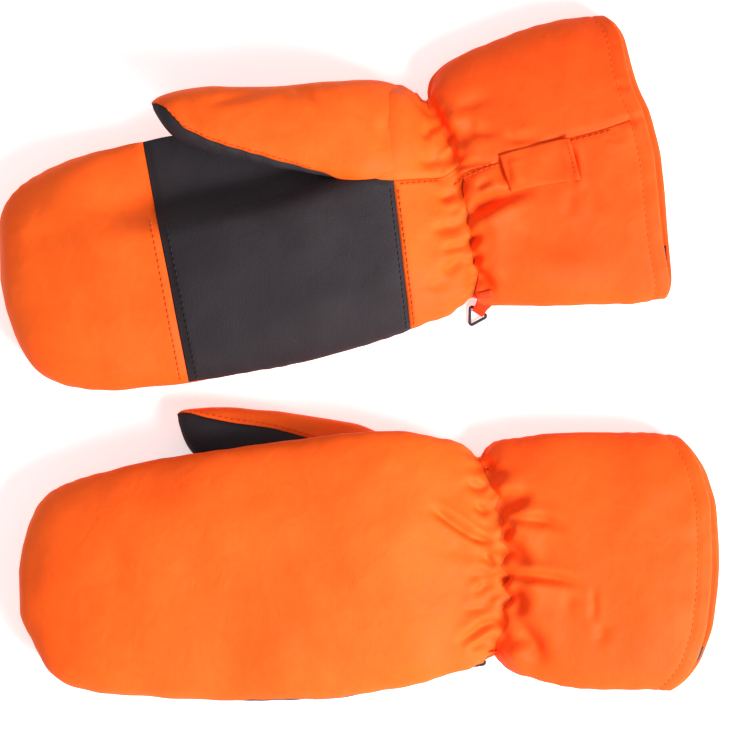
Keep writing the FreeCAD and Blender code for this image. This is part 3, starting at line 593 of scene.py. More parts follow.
def floor_clamp(z, lo=0.35e-3, soft=1.2e-3):
    return np.where(z > lo + soft, z, lo + soft * np.exp((np.minimum(z, lo + soft) - lo - soft) / soft))


def polyline_distance(P, line):
    """distance from XY points to a polyline and how far along it (0..1)"""
    L = np.array([px(*q) for q in line])
    seg = np.diff(L, axis=0); ln = np.linalg.norm(seg, axis=1); cum = np.concatenate([[0], np.cumsum(ln)])
    best = np.full(P.shape[:-1], 1e9); along = np.zeros(P.shape[:-1])
    for k in range(len(seg)):
        r = P[..., :2] - L[k]
        u = np.clip((r @ seg[k]) / ln[k] ** 2, 0, 1)
        d = np.linalg.norm(r - u[..., None] * seg[k], axis=-1)
        m = d < best
        best = np.where(m, d, best); along = np.where(m, (cum[k] + u * ln[k]) / cum[-1], along)
    return best, along


def fold(P, line, depth, width, ridge=0.32, taper=(0.30, 0.50)):
    d, a = polyline_distance(P, line)
    env = np.clip(a / taper[0], 0, 1) * np.clip((1 - a) / taper[1], 0, 1) if taper else 1.0
    env = env * env * (3 - 2 * env)
    return env * depth * (-np.exp(-(d / width) ** 2) + ridge * np.exp(-((d - 2.1 * width) / (1.2 * width)) ** 2))


def pleats(hand):
    """gathers on both sides of the elastic: place round the tube 0..1, slope, length to the hand, length to the cuff (m), depth (mm), width (m)"""
    rng = np.random.default_rng(41 if hand == "right" else 57)
    out = []
    for half in (0, 1):
        n = 12
        pos = (np.arange(n) + 0.5 + rng.uniform(-0.30, 0.30, n)) / n / 2 + half / 2
        for q in pos:
            out.append((q, rng.uniform(-0.8, 0.8), rng.uniform(9e-3, 34e-3), rng.uniform(8e-3, 26e-3), rng.uniform(1.0, 2.6), rng.uniform(1.3e-3, 2.4e-3)))
        m = 11
        pos = rng.uniform(0, 0.5, m) + half / 2
        for q in pos:
            out.append((q, rng.uniform(-1.2, 1.2), rng.uniform(4e-3, 11e-3), rng.uniform(4e-3, 11e-3), rng.uniform(0.5, 1.2), rng.uniform(0.9e-3, 1.5e-3)))
    return out


# the gathered line on the face that shows, where the darker cuff colour (painted shade) begins: cross value, how far it
# lies toward the cuff (grid units)
LINE = {
    "right": [(-1, 0), (-0.88, 5), (-0.76, 10), (-0.65, 7), (-0.54, 11), (-0.45, 8), (-0.36, 15), (-0.27, 11), (-0.13, 16), (0.03, 15), (0.12, 24), (0.30, 17), (0.48, 11), (0.64, 8), (0.75, 6), (0.88, 1), (1, 0)],
    "left": [(-1, 0), (-0.97, 3), (-0.83, 5), (-0.73, 10), (-0.57, 21), (-0.49, 13), (-0.37, 22), (-0.26, 14), (-0.16, 23), (-0.08, 15), (0.05, 24), (0.16, 15), (0.32, 22), (0.44, 12), (0.54, 19), (0.64, 11), (0.8, 5), (1, 0)],
}
LOW = {"right": 6.5e-3, "left": 8.5e-3}


def _face(hand, v):
    """1 on the face that shows, and the cross value there"""
    v = np.asarray(v, float) % 1.0
    shows = (v <= 0.5) if hand == "right" else (v >= 0.5)
    return shows, t_at(np.where(v <= 0.5, v * 2, 2 - v * 2))


def lowline(hand, v):
    shows, t = _face(hand, v)
    return np.where(shows, LOW[hand] * np.maximum(1 - t * t, 0), 0.0)


def jag(hand, v):
    """how far the gathered line lies toward the cuff (m) round the tube"""
    rng = np.random.default_rng(3 if hand == "right" else 8)
    out = 0
    for k, amp in ((7, 0.7e-3), (11, 0.8e-3), (17, 0.7e-3), (26, 0.5e-3)):
        out = out + amp * np.sin(2 * math.pi * k * np.asarray(v) + rng.uniform(0, 6.28))
    shows, t = _face(hand, v)
    tab_ = LINE[hand]
    seen = np.interp(t, [q[0] for q in tab_], [q[1] for q in tab_]) * GRID
    return np.where(shows, seen, out * smooth(1 - np.abs(t), 0, 0.1))


# long folds seen on the cloth: (points, depth mm, width mm)
FOLDS = {
    "right": {
        "up": [
            ([(578, 182), (590, 196), (600, 214)], 0.7, 3.5),
            ([(20, 250), (60, 300), (110, 350)], 0.7, 8.0),
            ([(50, 185), (90, 200), (135, 205)], 0.6, 8.0),
            ([(428, 104), (438, 122), (448, 136), (458, 142)], 3.4, 2.8),
            ([(436, 134), (456, 141), (479, 132)], 3.8, 4.4),
            ([(442, 150), (457, 161), (471, 157)], 3.2, 2.8),
            ([(454, 169), (470, 165), (487, 160)], 1.6, 1.4),
            ([(461, 119), (474, 132), (504, 134)], 1.8, 2.6),
            ([(502, 134), (515, 140), (546, 139)], 1.6, 2.4),
            ([(499, 158), (504, 176), (511, 192)], 3.4, 2.6),
            ([(462, 229), (477, 209), (493, 201), (515, 194), (542, 187)], 4.4, 3.0),
            ([(472, 216), (486, 205), (505, 199)], 2.8, 4.8),
            ([(463, 248), (471, 242), (484, 234)], 2.8, 2.0),
            ([(467, 268), (474, 261), (483, 253)], 2.6, 1.8),
            ([(468, 267), (482, 279), (497, 292)], 4.2, 3.4),
            ([(440, 276), (455, 263), (467, 253)], 2.4, 3.0),
            ([(424, 291), (440, 282), (453, 269)], 1.2, 3.4),
            ([(414, 165), (440, 160), (455, 158)], 1.3, 2.4),
            ([(418, 141), (432, 129), (441, 134)], 1.4, 2.4),
            ([(436, 201), (450, 196), (463, 198)], 1.8, 2.0),
            ([(428, 233), (448, 226), (465, 229)], 1.8, 2.4),
            ([(438, 251), (455, 247), (466, 246)], 1.6, 1.8),
            ([(474, 190), (484, 184), (496, 181)], 1.8, 2.0),
            ([(565, 143), (572, 156), (575, 176), (571, 191)], 1.8, 1.5),
            ([(571, 189), (570, 205), (567, 222)], 0.9, 3.0),
            ([(500, 220), (529, 234), (566, 246), (608, 250)], 2.4, 7.5),
            ([(603, 134), (616, 136), (630, 136)], 1.0, 1.1),
            ([(600, 139), (616, 141), (629, 140)], 0.8, 1.0),
            ([(605, 131), (618, 131.5), (629, 129)], 0.7, 1.0),
            ([(625, 117), (632, 124), (636, 130)], 1.0, 1.4),
            ([(614, 83), (630, 91)], 0.9, 1.8),
            ([(448, 112), (470, 104), (496, 96)], 1.1, 3.0),
        ],
        "down": [
            ([(430, 130), (400, 150), (372, 160)], 1.6, 3.0),
            ([(440, 180), (405, 190), (370, 215)], 1.6, 3.4),
            ([(455, 250), (420, 262), (380, 262)], 1.6, 3.2),
            ([(465, 140), (510, 130), (560, 122)], 1.8, 3.2),
            ([(470, 190), (505, 200), (545, 190)], 1.8, 3.0),
            ([(475, 240), (520, 240), (560, 250)], 1.8, 3.4),
            ([(100, 200), (130, 260), (140, 330)], 0.7, 8.0),
        ],
    },
    "left": {
        "up": [
            ([(592, 584), (593, 604), (592, 626)], 0.8, 1.8),
            ([(574, 590), (566, 606), (574, 625)], 0.9, 3.2),
            ([(604, 620), (600, 636), (590, 645)], 0.9, 3.0),
            ([(60, 510), (110, 560), (130, 640)], 0.7, 9.0),
            ([(385, 455), (404, 490), (402, 530)], 0.7, 7.0),
            ([(230, 470), (300, 490), (360, 480)], 0.5, 9.0),
            ([(478, 449), (484, 463), (493, 478), (499, 470)], 1.3, 2.6),
            ([(484, 460), (492, 468), (506, 480)], 2.0, 2.6),
            ([(489, 488), (501, 498), (520, 489)], 1.8, 2.0),
            ([(491, 513), (513, 502), (535, 487)], 4.6, 3.8),
            ([(500, 524), (514, 518), (547, 521), (574, 532)], 2.4, 2.4),
            ([(496, 541), (505, 534), (517, 524)], 2.8, 1.9),
            ([(497, 540), (514, 550), (535, 566)], 4.6, 4.0),
            ([(498, 564), (518, 574), (556, 578), (590, 586)], 3.0, 2.2),
            ([(498, 585), (508, 576), (516, 573)], 2.6, 1.7),
            ([(510, 586), (518, 602), (523, 618)], 4.4, 4.6),
            ([(498, 608), (506, 600), (512, 592)], 2.4, 1.7),
            ([(503, 615), (522, 628), (533, 643), (546, 672)], 3.8, 4.2),
            ([(495, 634), (511, 640), (532, 642)], 3.0, 3.2),
            ([(426, 503), (450, 521), (471, 536), (500, 546)], 3.0, 2.0),
            ([(472, 503), (482, 511), (493, 514)], 2.2, 1.9),
            ([(482, 554), (492, 563), (500, 566)], 2.2, 1.9),
            ([(472, 596), (484, 585), (499, 583)], 1.8, 2.0),
            ([(455, 646), (484, 626), (508, 615)], 3.0, 2.3),
            ([(465, 650), (484, 641), (500, 632)], 2.0, 1.7),
            ([(468, 536), (484, 540), (498, 541)], 1.4, 2.0),
            ([(463, 575), (480, 574), (497, 572)], 1.2, 2.6),
            ([(450, 540), (462, 552), (472, 562)], 0.8, 4.0),
            ([(462, 480), (474, 486), (489, 489)], 1.8, 2.2),
            ([(461, 610), (480, 608), (498, 607)], 1.2, 2.0),
        ],
        "down": [
            ([(440, 500), (410, 520), (380, 530)], 1.6, 3.2),
            ([(450, 600), (415, 605), (385, 625)], 1.6, 3.2),
            ([(500, 500), (540, 495), (590, 505)], 1.8, 3.0),
            ([(505, 550), (540, 560), (580, 552)], 1.8, 3.0),
            ([(505, 610), (545, 600), (590, 612)], 1.8, 3.2),
        ],
    },
}


def groove(x, depth, width):
    """valley at distance x"""
    return -depth * np.exp(-(x / width) ** 2)


def cuff_seam_t(s):
    """place of the lengthwise cuff seam on the palm side"""
    return np.interp(s, [14.5, 15.5, 16.3, 18.3, 20.9], [0.12, 0.11, 0.10, 0.15, 0.25])


HEEL_T = 0.21
HEM_W = 5.2e-3


def body_relief(hand, F, edge_of_mouth, from_elastic):
    pl = pleats(hand)
    front = 1 if hand == "right" else -1
    def relief(P, s, t, side, j):
        M = 2 * KC
        v = j / M
        h = np.zeros(P.shape[:-1])
        soft = smooth(s, 0.0, 2.5)
        # soft unevenness of the filling
        h += 0.8e-3 * noise3(P, 0.030, 3) * soft + 0.35e-3 * noise3(P, 0.013, 4) * soft
        near = np.exp(-((s - WRIST) / 2.4) ** 2)
        # elastic: a soft waist with full puffs beside it
        e = from_elastic(s, j)
        h += -2.6e-3 * np.exp(-(e / 3.4e-3) ** 2) + 1.3e-3 * np.exp(-((e + 13e-3) / 7e-3) ** 2) + 1.0e-3 * np.exp(-((e - 12e-3) / 6e-3) ** 2)
        # the hand side falls to the elastic from a rise at the root of the thumb
        tt_ = np.where(side > 0, t, -2.0)
        h += 5.0e-3 * np.exp(-((s - 11.5) / 0.95) ** 2) * smooth(tt_, 0.12, 0.5) * (1 - smooth(tt_, 0.86, 1.0))
        around = 0.262 if hand == "right" else 0.256
        for q, slope, ra, rb, depth, width in pl:
            dv = ((v - q + 0.5) % 1.0 - 0.5) * around - slope * e * 0.5
            w = width * (1 + np.abs(e) / 11e-3)
            reach = np.where(e < 0, ra, rb)
            env = smooth(np.abs(e), 0.2e-3, 2.6e-3) * np.exp(-1.3 * (np.abs(e) / reach) ** 2)
            amp = np.where(side == front, 0.30, 1.0)
            h += amp * depth * 1e-3 * env * (-np.exp(-(dv / w) ** 2) + 0.4 * np.exp(-((np.abs(dv) - 2.0 * w) / (1.3 * w)) ** 2))
        # fine gathers right at the elastic
        ph = v * 2 * math.pi * 27 + 7.0 * noise3(P, 0.016, 9)
        h += (0.45e-3 + 0.3e-3 * noise3(P, 0.01, 10)) * np.sin(ph) * np.exp(-(e / 3.2e-3) ** 2)
        vis = side == front
        inner = 1 - 0.75 * smooth(np.abs(t), 0.93, 1.0)
        for line, depth, width in FOLDS[hand]["up"]:
            h += np.where(vis, fold(P, line, depth * 1e-3, width * 1e-3), 0) * inner
        for line, depth, width in FOLDS[hand]["down"]:
            h += np.where(~vis, fold(P, line, depth * 1e-3, width * 1e-3), 0) * inner
        # seams
        fade = 1 - smooth(np.abs(t), 0.96, 1.0)
        jt = patch_top(s)
        low = 1 - smooth(j - jt, -1.0, 0.5)
        h += np.where(side > 0, groove((s - 6) * 15e-3, 1.2e-3, 1.5e-3) + groove((s - 11.4) * 15e-3, 1.1e-3, 1.5e-3) * low, 0) * fade
        h += np.where((side > 0) & (s > 7.0) & (s < 11.4), groove((j - jt) * 2.7e-3, 1.0e-3, 1.5e-3), 0)
        dj = np.minimum(np.minimum(j, M - j), np.abs(j - KC))
        edge = dj * 2.3e-3
        h += groove(edge, 1.0e-3, 1.5e-3) * smooth(s, 0.1, 1.0)
        # seam pucker along the edge seams
        h += 0.16e-3 * np.sin(s * 9.0 + 9 * noise3(P, 0.03, 12)) * np.exp(-(edge / 5e-3) ** 2) * soft
        # heel / thumb base seam and cuff seam
        jh = np.interp(HEEL_T, T_COLS, np.arange(KC + 1))
        h += np.where((side > 0) & (s > 11.4) & (s < 14), groove((j - jh) * 2.7e-3, 1.0e-3, 1.5e-3), 0)
        jc = np.interp(cuff_seam_t(s), T_COLS, np.arange(KC + 1))
        h += np.where((side > 0) & (s > 14.5), groove((j - jc) * 2.7e-3, 1.0e-3, 1.6e-3) * smooth(s, 14.5, 15.2), 0)
        # hem stitching draws the mouth in
        h += groove(edge_of_mouth(s, j) - HEM_W, 0.35e-3, 1.2e-3)
        h += (0.5e-3 * noise3(P, 0.016, 21) + 0.4e-3 * noise3(P, 0.008, 22)) * smooth(s, 18.8, 20.6)
        return h
    return relief


T_COLS = t_at(np.arange(KC + 1) / KC)
J_HEEL = float(np.interp(HEEL_T, T_COLS, np.arange(KC + 1)))


def patch_top(s):
    """column of the grip patch's upper border, which runs in under the thumb"""
    t = np.interp(s, [6.6, 7.2, 8, 9, 9.5, 10, 10.5, 11, 11.4], [1, 0.93, 0.765, 0.573, 0.46, 0.344, 0.275, 0.225, HEEL_T])
    return np.interp(t, T_COLS, np.arange(KC + 1))


# ---------------------------------------------------------------- pieces cut from a surface
def patch_faces(ni, nj, flip, closed=False, base=0):
    f = []
    for a in range(ni - 1):
        for b in range(nj if closed else nj - 1):
            b2 = (b + 1) % nj
            q = [base + a * nj + b, base + a * nj + b2, base + (a + 1) * nj + b2, base + (a + 1) * nj + b]
            f.append(q[::-1] if flip else q)
    return f


def rimmed(P, N, flip, depth=2.2e-3, rims=("i0", "i1", "j0", "j1"), inset=0.4e-3):
    """a rectangular sheet of points with its seam allowance turned down at the chosen borders"""
    ni, nj = P.shape[:2]
    rows = []
    Q, NN = P, N
    def turn(edge, nxt, n):
        d = edge - nxt; d /= np.linalg.norm(d, axis=-1, keepdims=True) + 1e-12
        a = edge - n * depth * 0.5 - d * 0.0
        b = edge - n * depth - d * inset * 3
        return a, b
    if "i0" in rims:
        a, b = turn(Q[0], Q[1], NN[0]); Q = np.concatenate([b[None], a[None], Q], 0); NN = np.concatenate([NN[:1], NN[:1], NN], 0)
    if "i1" in rims:
        a, b = turn(Q[-1], Q[-2], NN[-1]); Q = np.concatenate([Q, a[None], b[None]], 0); NN = np.concatenate([NN, NN[-1:], NN[-1:]], 0)
    if "j0" in rims:
        a, b = turn(Q[:, 0], Q[:, 1], NN[:, 0]); Q = np.concatenate([b[:, None], a[:, None], Q], 1); NN = np.concatenate([NN[:, :1], NN[:, :1], NN], 1)
    if "j1" in rims:
        a, b = turn(Q[:, -1], Q[:, -2], NN[:, -1]); Q = np.concatenate([Q, a[:, None], b[:, None]], 1)
    Q[..., 2] = np.maximum(Q[..., 2], 0.3e-3)
    return Q.reshape(-1, 3), patch_faces(Q.shape[0], Q.shape[1], flip), Q.shape[:2]


def weld(v, f, tol=1e-6):
    key = np.round(np.asarray(v) / tol).astype(np.int64)
    _, first, inv = np.unique(key, axis=0, return_index=True, return_inverse=True)
    inv = inv.ravel()
    g = []
    for q in f:
        r = []
        for x in q:
            y = int(inv[x])
            if y not in r: r.append(y)
        if len(r) > 2: g.append(r)
    return np.asarray(v)[first], g


REF = 3


def span(a, b, ref=REF):
    n = max(int(round((b - a) * ref)), 1)
    return np.linspace(a, b, n + 1)


def piece(name, surf, ia, ja, mat, rims=("i0", "i1", "j0", "j1"), depth=2.2e-3):
    """ia: rows (n,), ja: columns (n, m) or (m,)"""
    ja = np.asarray(ja, float)
    if ja.ndim == 1: ja = np.repeat(ja[None], len(ia), 0)
    ia = np.asarray(ia, float)
    I = ia if ia.ndim == 2 else np.repeat(ia[:, None], ja.shape[1], 1)
    P, N = surf.point(I, ja)
    v, f, _ = rimmed(P, N, surf.flip_faces, rims=rims, depth=depth)
    v, f = weld(v, f)
    ob = new_mesh(name, v, f, mat)
    return ob


def on(surf, s, t, side=1, lift=0.0):
    """points and normals on the surface at rib values s and cross values t"""
    i = surf.i_of(np.asarray(s, float)); j = surf.j_of(np.asarray(t, float), side)
    P, N = surf.point(i, j)
    return P + N * lift, N


def locate(surf, x, y, side=1, s_lo=0.0, s_hi=21.0):
    """rib value and cross value of the surface point seen at drafting place (x, y)"""
    target = px(x, y)
    ss = np.linspace(s_lo, s_hi, 260); tt = np.linspace(-1, 1, 161)
    S, T = np.meshgrid(ss, tt, indexing="ij")
    P = surf.raw(surf.i_of(S), surf.j_of(T, side))
    k = np.argmin(np.hypot(P[..., 0] - target[0], P[..., 1] - target[1]))
    return float(S.ravel()[k]), float(T.ravel()[k])


def mid_line(surf, s):
    """middle, index-side end and little-finger-side end of the outline at rib value s"""
    i = surf.i_of(s)
    A = surf.raw(np.array(float(i)), np.array(float(KC))); B = surf.raw(np.array(float(i)), np.array(0.0))
    return (A + B) / 2, A, B


def bend_axis(surf, s, before, after):
    """start and end points square to the cross line at rib value s"""
    m, A, B = mid_line(surf, s)
    d = A - B; d[2] = 0; d /= np.linalg.norm(d)
    n = np.array([d[1], -d[0], 0.0])
    if n[0] < 0: n = -n
    return tuple((m - n * before).tolist()), tuple((m + n * after).tolist())


T_LO = [0.62, 0.5, 0.25, -0.42, -0.62, -0.76, -0.88, -1, -1, -1, -1]
T_UP = [0.95, 0.90, 0.84, 0.68, 0.57, 0.53, 0.42, 0.2, -0.1, -0.4, -0.6]

THUMB_FOLDS = {
    "right": [
        ([(196, 108), (240, 98), (292, 86)], 0.8, 2.6),
        ([(288, 88), (306, 96), (322, 110)], 0.9, 2.4),
        ([(344, 100), (366, 120), (376, 150)], 0.9, 3.4),
        ([(250, 150), (300, 158), (345, 165)], 0.6, 3.0),
        ([(400, 110), (384, 130), (380, 160)], 0.8, 3.6),
        ([(180, 100), (190, 118), (206, 134)], 0.5, 3.4),
    ],
    "left": [
        ([(200, 414), (260, 420), (320, 424)], 0.4, 2.4),
        ([(350, 428), (380, 436), (405, 446)], 0.8, 2.6),
    ],
}
RISE = {"right": 0.0, "left": 0.0}


def thumb_skin(hand):
    up = 1 if hand == "right" else -1
    F = Form(THUMB[hand], up, THUMB_TIP)
    sk = Skin(F, 0, 10, 2.4e-3, 22)
    P0 = sk.coords()
    S = np.zeros(sk.nv); S[sk.idx.ravel()] = np.repeat(sk.s[:, None], sk.M, 1).ravel()
    Pr = sk.coords(widen=lambda s: 1.03 + 0 * s, thicken=lambda s: 1.05 + 0 * s)
    pins = 0.03 + 0 * S
    pins[S > 7.5] = 1.0
    rng = np.random.default_rng(7)
    P1 = cloth(hand + "_thumb_sim", P0, Pr, sk.faces(), pins, frames=16, pressure=1.0, bend=1.0, tension=12, comp=10)
    mv = P1 - P0; L = np.linalg.norm(mv, axis=1)
    P1 = P0 + mv * (np.minimum(L, 2e-3) / (L + 1e-12))[:, None]
    G = P1[sk.idx]; G0 = P0[sk.idx]
    d0, dK = G0[:, 0] - G[:, 0], G0[:, sk.K] - G[:, sk.K]
    w = ((sk.tt + 1) / 2)[None, :, None]
    add = d0[:, None] * (1 - w) + dK[:, None] * w
    G = blur(G + add, 0.6, 0.6)
    return F, sk, G


def thumb_relief(hand, sk):
    M, K = sk.M, sk.K
    front = 1 if hand == "right" else -1
    cols = np.arange(K + 1)
    def relief(P, s, t, side, j):
        soft = smooth(s, 0.0, 2.0)
        h = 0.7e-3 * noise3(P, 0.022, 31) * soft + 0.3e-3 * noise3(P, 0.010, 32) * soft
        jl = np.interp(np.interp(s, np.arange(11), T_LO), sk.t, cols)
        ju = M - np.interp(np.interp(s, np.arange(11), T_UP), sk.t, cols)
        dl = np.minimum(np.abs(j - jl), M - np.abs(j - jl)) * 1.9e-3
        du = np.abs(j - ju) * 1.9e-3
        on_l = smooth(s, 7.4, 6.8)
        h += groove(dl, 0.8e-3, 1.2e-3) * on_l * soft + groove(du, 0.8e-3, 1.2e-3) * soft
        edge = np.minimum(np.minimum(j, M - j), np.abs(j - K)) * 1.9e-3
        h += 0.2e-3 * np.sin(s * 9 + 3 * noise3(P, 0.02, 33)) * np.exp(-(dl / 4e-3) ** 2) * on_l
        for line, depth, width in THUMB_FOLDS[hand]:
            h += np.where(side == front, fold(P, line, depth * 1e-3, width * 1e-3), 0) * smooth(edge, 0, 3e-3)
        return h
    return relief


def mitten(hand):
    up = 1 if hand == "right" else -1
    front = 1 if hand == "right" else -1
    p = hand + "_"
    H, Fg, Th, Cu = p + "hand", p + "fingers", p + "thumb", p + "cuff"
    F, sk, G = body_skin(hand)
    M, K = sk.M, sk.K
    # distance from each surface place to the mouth, along the cuff
    seg = np.linalg.norm(np.diff(G, axis=0), axis=2)
    back = np.concatenate([np.cumsum(seg[::-1], 0)[::-1], np.zeros((1, M))], 0)
    def edge_of_mouth(s, j):
        i = np.interp(s, sk.s, np.arange(sk.n)); a0 = np.clip(np.floor(i).astype(int), 0, sk.n - 2); fa = i - a0
        b0 = np.floor(j).astype(int) % M; b1 = (b0 + 1) % M; fb = j - np.floor(j)
        at = lambda r: (1 - fb) * back[r, b0] + fb * back[r, b1]
        return (1 - fa) * at(a0) + fa * at(a0 + 1)
    # signed distance along the mitten from the gathered line
    iw = float(np.interp(WRIST, sk.s, np.arange(sk.n)))
    run = np.concatenate([np.zeros((1, M)), np.cumsum(seg, 0)], 0)
    rw = run[int(iw)] * (1 - iw % 1) + run[int(iw) + 1] * (iw % 1)
    run = run - rw[None]
    def from_elastic(s, j):
        i = np.interp(s, sk.s, np.arange(sk.n)); a0 = np.clip(np.floor(i).astype(int), 0, sk.n - 2); fa = i - a0
        b0 = np.floor(j).astype(int) % M; b1 = (b0 + 1) % M; fb = j - np.floor(j)
        at = lambda r: (1 - fb) * run[r, b0] + fb * run[r, b1]
        return (1 - fa) * at(a0) + fa * at(a0 + 1) - lowline(hand, j / M)
    def wrist_row(j, off):
        """row at a signed distance from the gathered line"""
        j = np.asarray(j, float) % M
        out = np.zeros(j.shape)
        for k in np.ndindex(j.shape):
            b0 = int(j[k]) % M; b1 = (b0 + 1) % M; fb = j[k] - int(j[k])
            col = (1 - fb) * run[:, b0] + fb * run[:, b1]
            out[k] = np.interp(off + jag(hand, j[k] / M), col, np.arange(sk.n))
        return out
    S = Surf(G, sk, body_relief(hand, F, edge_of_mouth, from_elastic), -1 if up > 0 else 1); S.flip_faces = up > 0
    def hem_row(j, w=HEM_W):
        j = np.asarray(j, float) % M
        out = np.zeros(j.shape)
        for k in np.ndindex(j.shape):
            b0 = int(j[k]) % M; b1 = (b0 + 1) % M; fb = j[k] - int(j[k])
            col = (1 - fb) * back[:, b0] + fb * back[:, b1]
            out[k] = np.interp(-w, -col, np.arange(sk.n))
        return out
    i6, i9, i11, i14, i145 = (float(S.i_of(v)) for v in (6, 9, 11.4, 14, 14.5))
    i21 = float(sk.n - 1)
    f0, f1 = bend_axis(S, 6.0, 9e-3, 17e-3)
    w0, w1 = bend_axis(S, 14.0, -0.2e-3, 13e-3)
    P = span(0, K)
    Bk = span(K, M)
    wrap = lambda s: 1.6 * smooth(s, 6.5, 7.2) * (1 - smooth(s, 8.1, 8.7))
    soft = []
    # fingertips
    a = piece(p + "fingertip_palm", S, span(0, i6), P, ORANGE)
    # the back runs over the knuckles in one piece
    BAND = 0.1e-3
    def to_wrist(i0, cols, n):
        return i0 + (wrist_row(cols, -BAND) - i0) * np.linspace(0, 1, n)[:, None]
    rows = np.concatenate([span(0, i6), span(i6, i11)[1:]])
    nw = int(round((i14 - i11) * REF))
    wr = wrap(S.s_of(rows))
    ja = K + (M - wr - K)[:, None] * np.linspace(0, 1, len(Bk))[None]
    tail = to_wrist(i11, Bk, nw)[1:]
    rb = np.concatenate([np.repeat(rows[:, None], len(Bk), 1), tail], 0)
    ja = np.concatenate([ja, np.repeat(Bk[None], nw - 1, 0)], 0)
    b = piece(p + "back", S, rb, ja, ORANGE, rims=("i0", "j0", "j1"))
    # grip patch, its edge folded over the little finger side
    rows = span(i6, i11)
    wr = wrap(S.s_of(rows)); jt = patch_top(S.s_of(rows))
    ja = -wr[:, None] + (jt + wr)[:, None] * np.linspace(0, 1, len(P))[None]
    c = piece(p + "palm_grip", S, rows, ja, BLACK)
    lowc = np.linspace(0, J_HEEL, int(round(J_HEEL * REF)) + 1)
    highc = np.linspace(J_HEEL, K, int(round((K - J_HEEL) * REF)) + 1)
    d = piece(p + "palm_heel", S, to_wrist(i11, lowc, nw), lowc, ORANGE, rims=("i0", "j0", "j1"))
    # the base of the thumb reaches forward beside the patch
    i9b = float(S.i_of(7.2))
    rows = span(i9b, i11)
    jt = patch_top(S.s_of(rows))
    jb = jt[:, None] + (K - jt)[:, None] * np.linspace(0, 1, len(highc))[None]
    rb = np.concatenate([np.repeat(rows[:, None], len(highc), 1), to_wrist(i11, highc, nw)[1:]], 0)
    jb = np.concatenate([jb, np.repeat(highc[None], nw - 1, 0)], 0)
    e = piece(p + "thumb_base", S, rb, jb, ORANGE, rims=("i0", "j0", "j1"))
    # elastic casing and cuff
    J0 = np.concatenate([lowc, highc[1:], Bk[1:]])
    # the casing lies just under both cloths
    r0, r1 = wrist_row(J0, -4.5e-3), wrist_row(J0, 4.5e-3)
    Iw = r0 + (r1 - r0) * np.linspace(0, 1, 11)[:, None]
    Pw, Nw = S.point(Iw, np.repeat(J0[None], 11, 0))
    v, f, _ = rimmed(Pw - Nw * 0.9e-3, Nw, S.flip_faces, rims=("i0", "i1"), depth=1.2e-3)
    v, f = weld(v, f)
    cas = new_mesh(p + "wrist_band", v, f, CUFF_PAINTED_SHADE)
    nr = int(round((i21 - i145) * REF)) - 4
    u = np.linspace(0, 1, nr)[:, None]
    sv = S.s_of(i145 + (i21 - i145 - 1.5) * u[:, 0])
    jc = np.interp(cuff_seam_t(sv), sk.t, np.arange(K + 1))
    n1 = int(round(jc.mean() * REF)); n2 = len(P) - 1 - n1
    low = jc[:, None] * np.linspace(0, 1, n1 + 1)[None]
    high = jc[:, None] + (K - jc)[:, None] * np.linspace(0, 1, n2 + 1)[None]
    rows_to = lambda cols: wrist_row(cols, BAND) + (hem_row(cols) - wrist_row(cols, BAND)) * np.linspace(0, 1, nr)[:, None]
    # the cuff pieces, wrist band, hem and seam tab take the darker cuff nylon, whose colour paints the cuff's shade
    cp = piece(p + "cuff_palm", S, rows_to(low[-1]), low, CUFF_PAINTED_SHADE, rims=("i1", "j0", "j1"))
    ct = piece(p + "cuff_thumb_side", S, rows_to(high[-1]), high, CUFF_PAINTED_SHADE, rims=("i1", "j0", "j1"))
    cb = piece(p + "cuff_back", S, rows_to(Bk), Bk, CUFF_PAINTED_SHADE, rims=("i1", "j0", "j1"))
    # hem: the outer face turns over a rounded edge and lies inside the mouth
    J = np.concatenate([low[-1], high[-1][1:], Bk[1:-1]])
    rows = hem_row(J) + (i21 - hem_row(J)) * np.linspace(0, 1, 9)[:, None]
    Q, N = S.point(rows, np.repeat(J[None], len(rows), 0))
    E, NE = Q[-1], N[-1]
    outd = Q[-1] - Q[-3]; outd /= np.linalg.norm(outd, axis=1)[:, None]
    thick = 1.6e-3
    ring = []
    for q in np.linspace(0, math.pi, 9)[1:]:
        ring.append(E + outd * (math.sin(q) * thick) - NE * ((1 - math.cos(q)) * thick))
    inner = []
    nrm0 = NE.copy()
    for k, r in enumerate(rows[::-1][1:]):
        Pk, Nk = Q[len(rows) - 2 - k], N[len(rows) - 2 - k]
        inner.append(Pk - Nk * (2 * thick + 0.5e-3 * (k / len(rows))))
    sheet = np.concatenate([Q, np.array(ring), np.array(inner)], 0)
    sheet[..., 2] = np.maximum(sheet[..., 2], 0.3e-3)
    hv, hf = sheet.reshape(-1, 3), patch_faces(sheet.shape[0], len(J), up > 0, closed=True)
    hem = new_mesh(p + "hem", hv, hf, CUFF_PAINTED_SHADE)
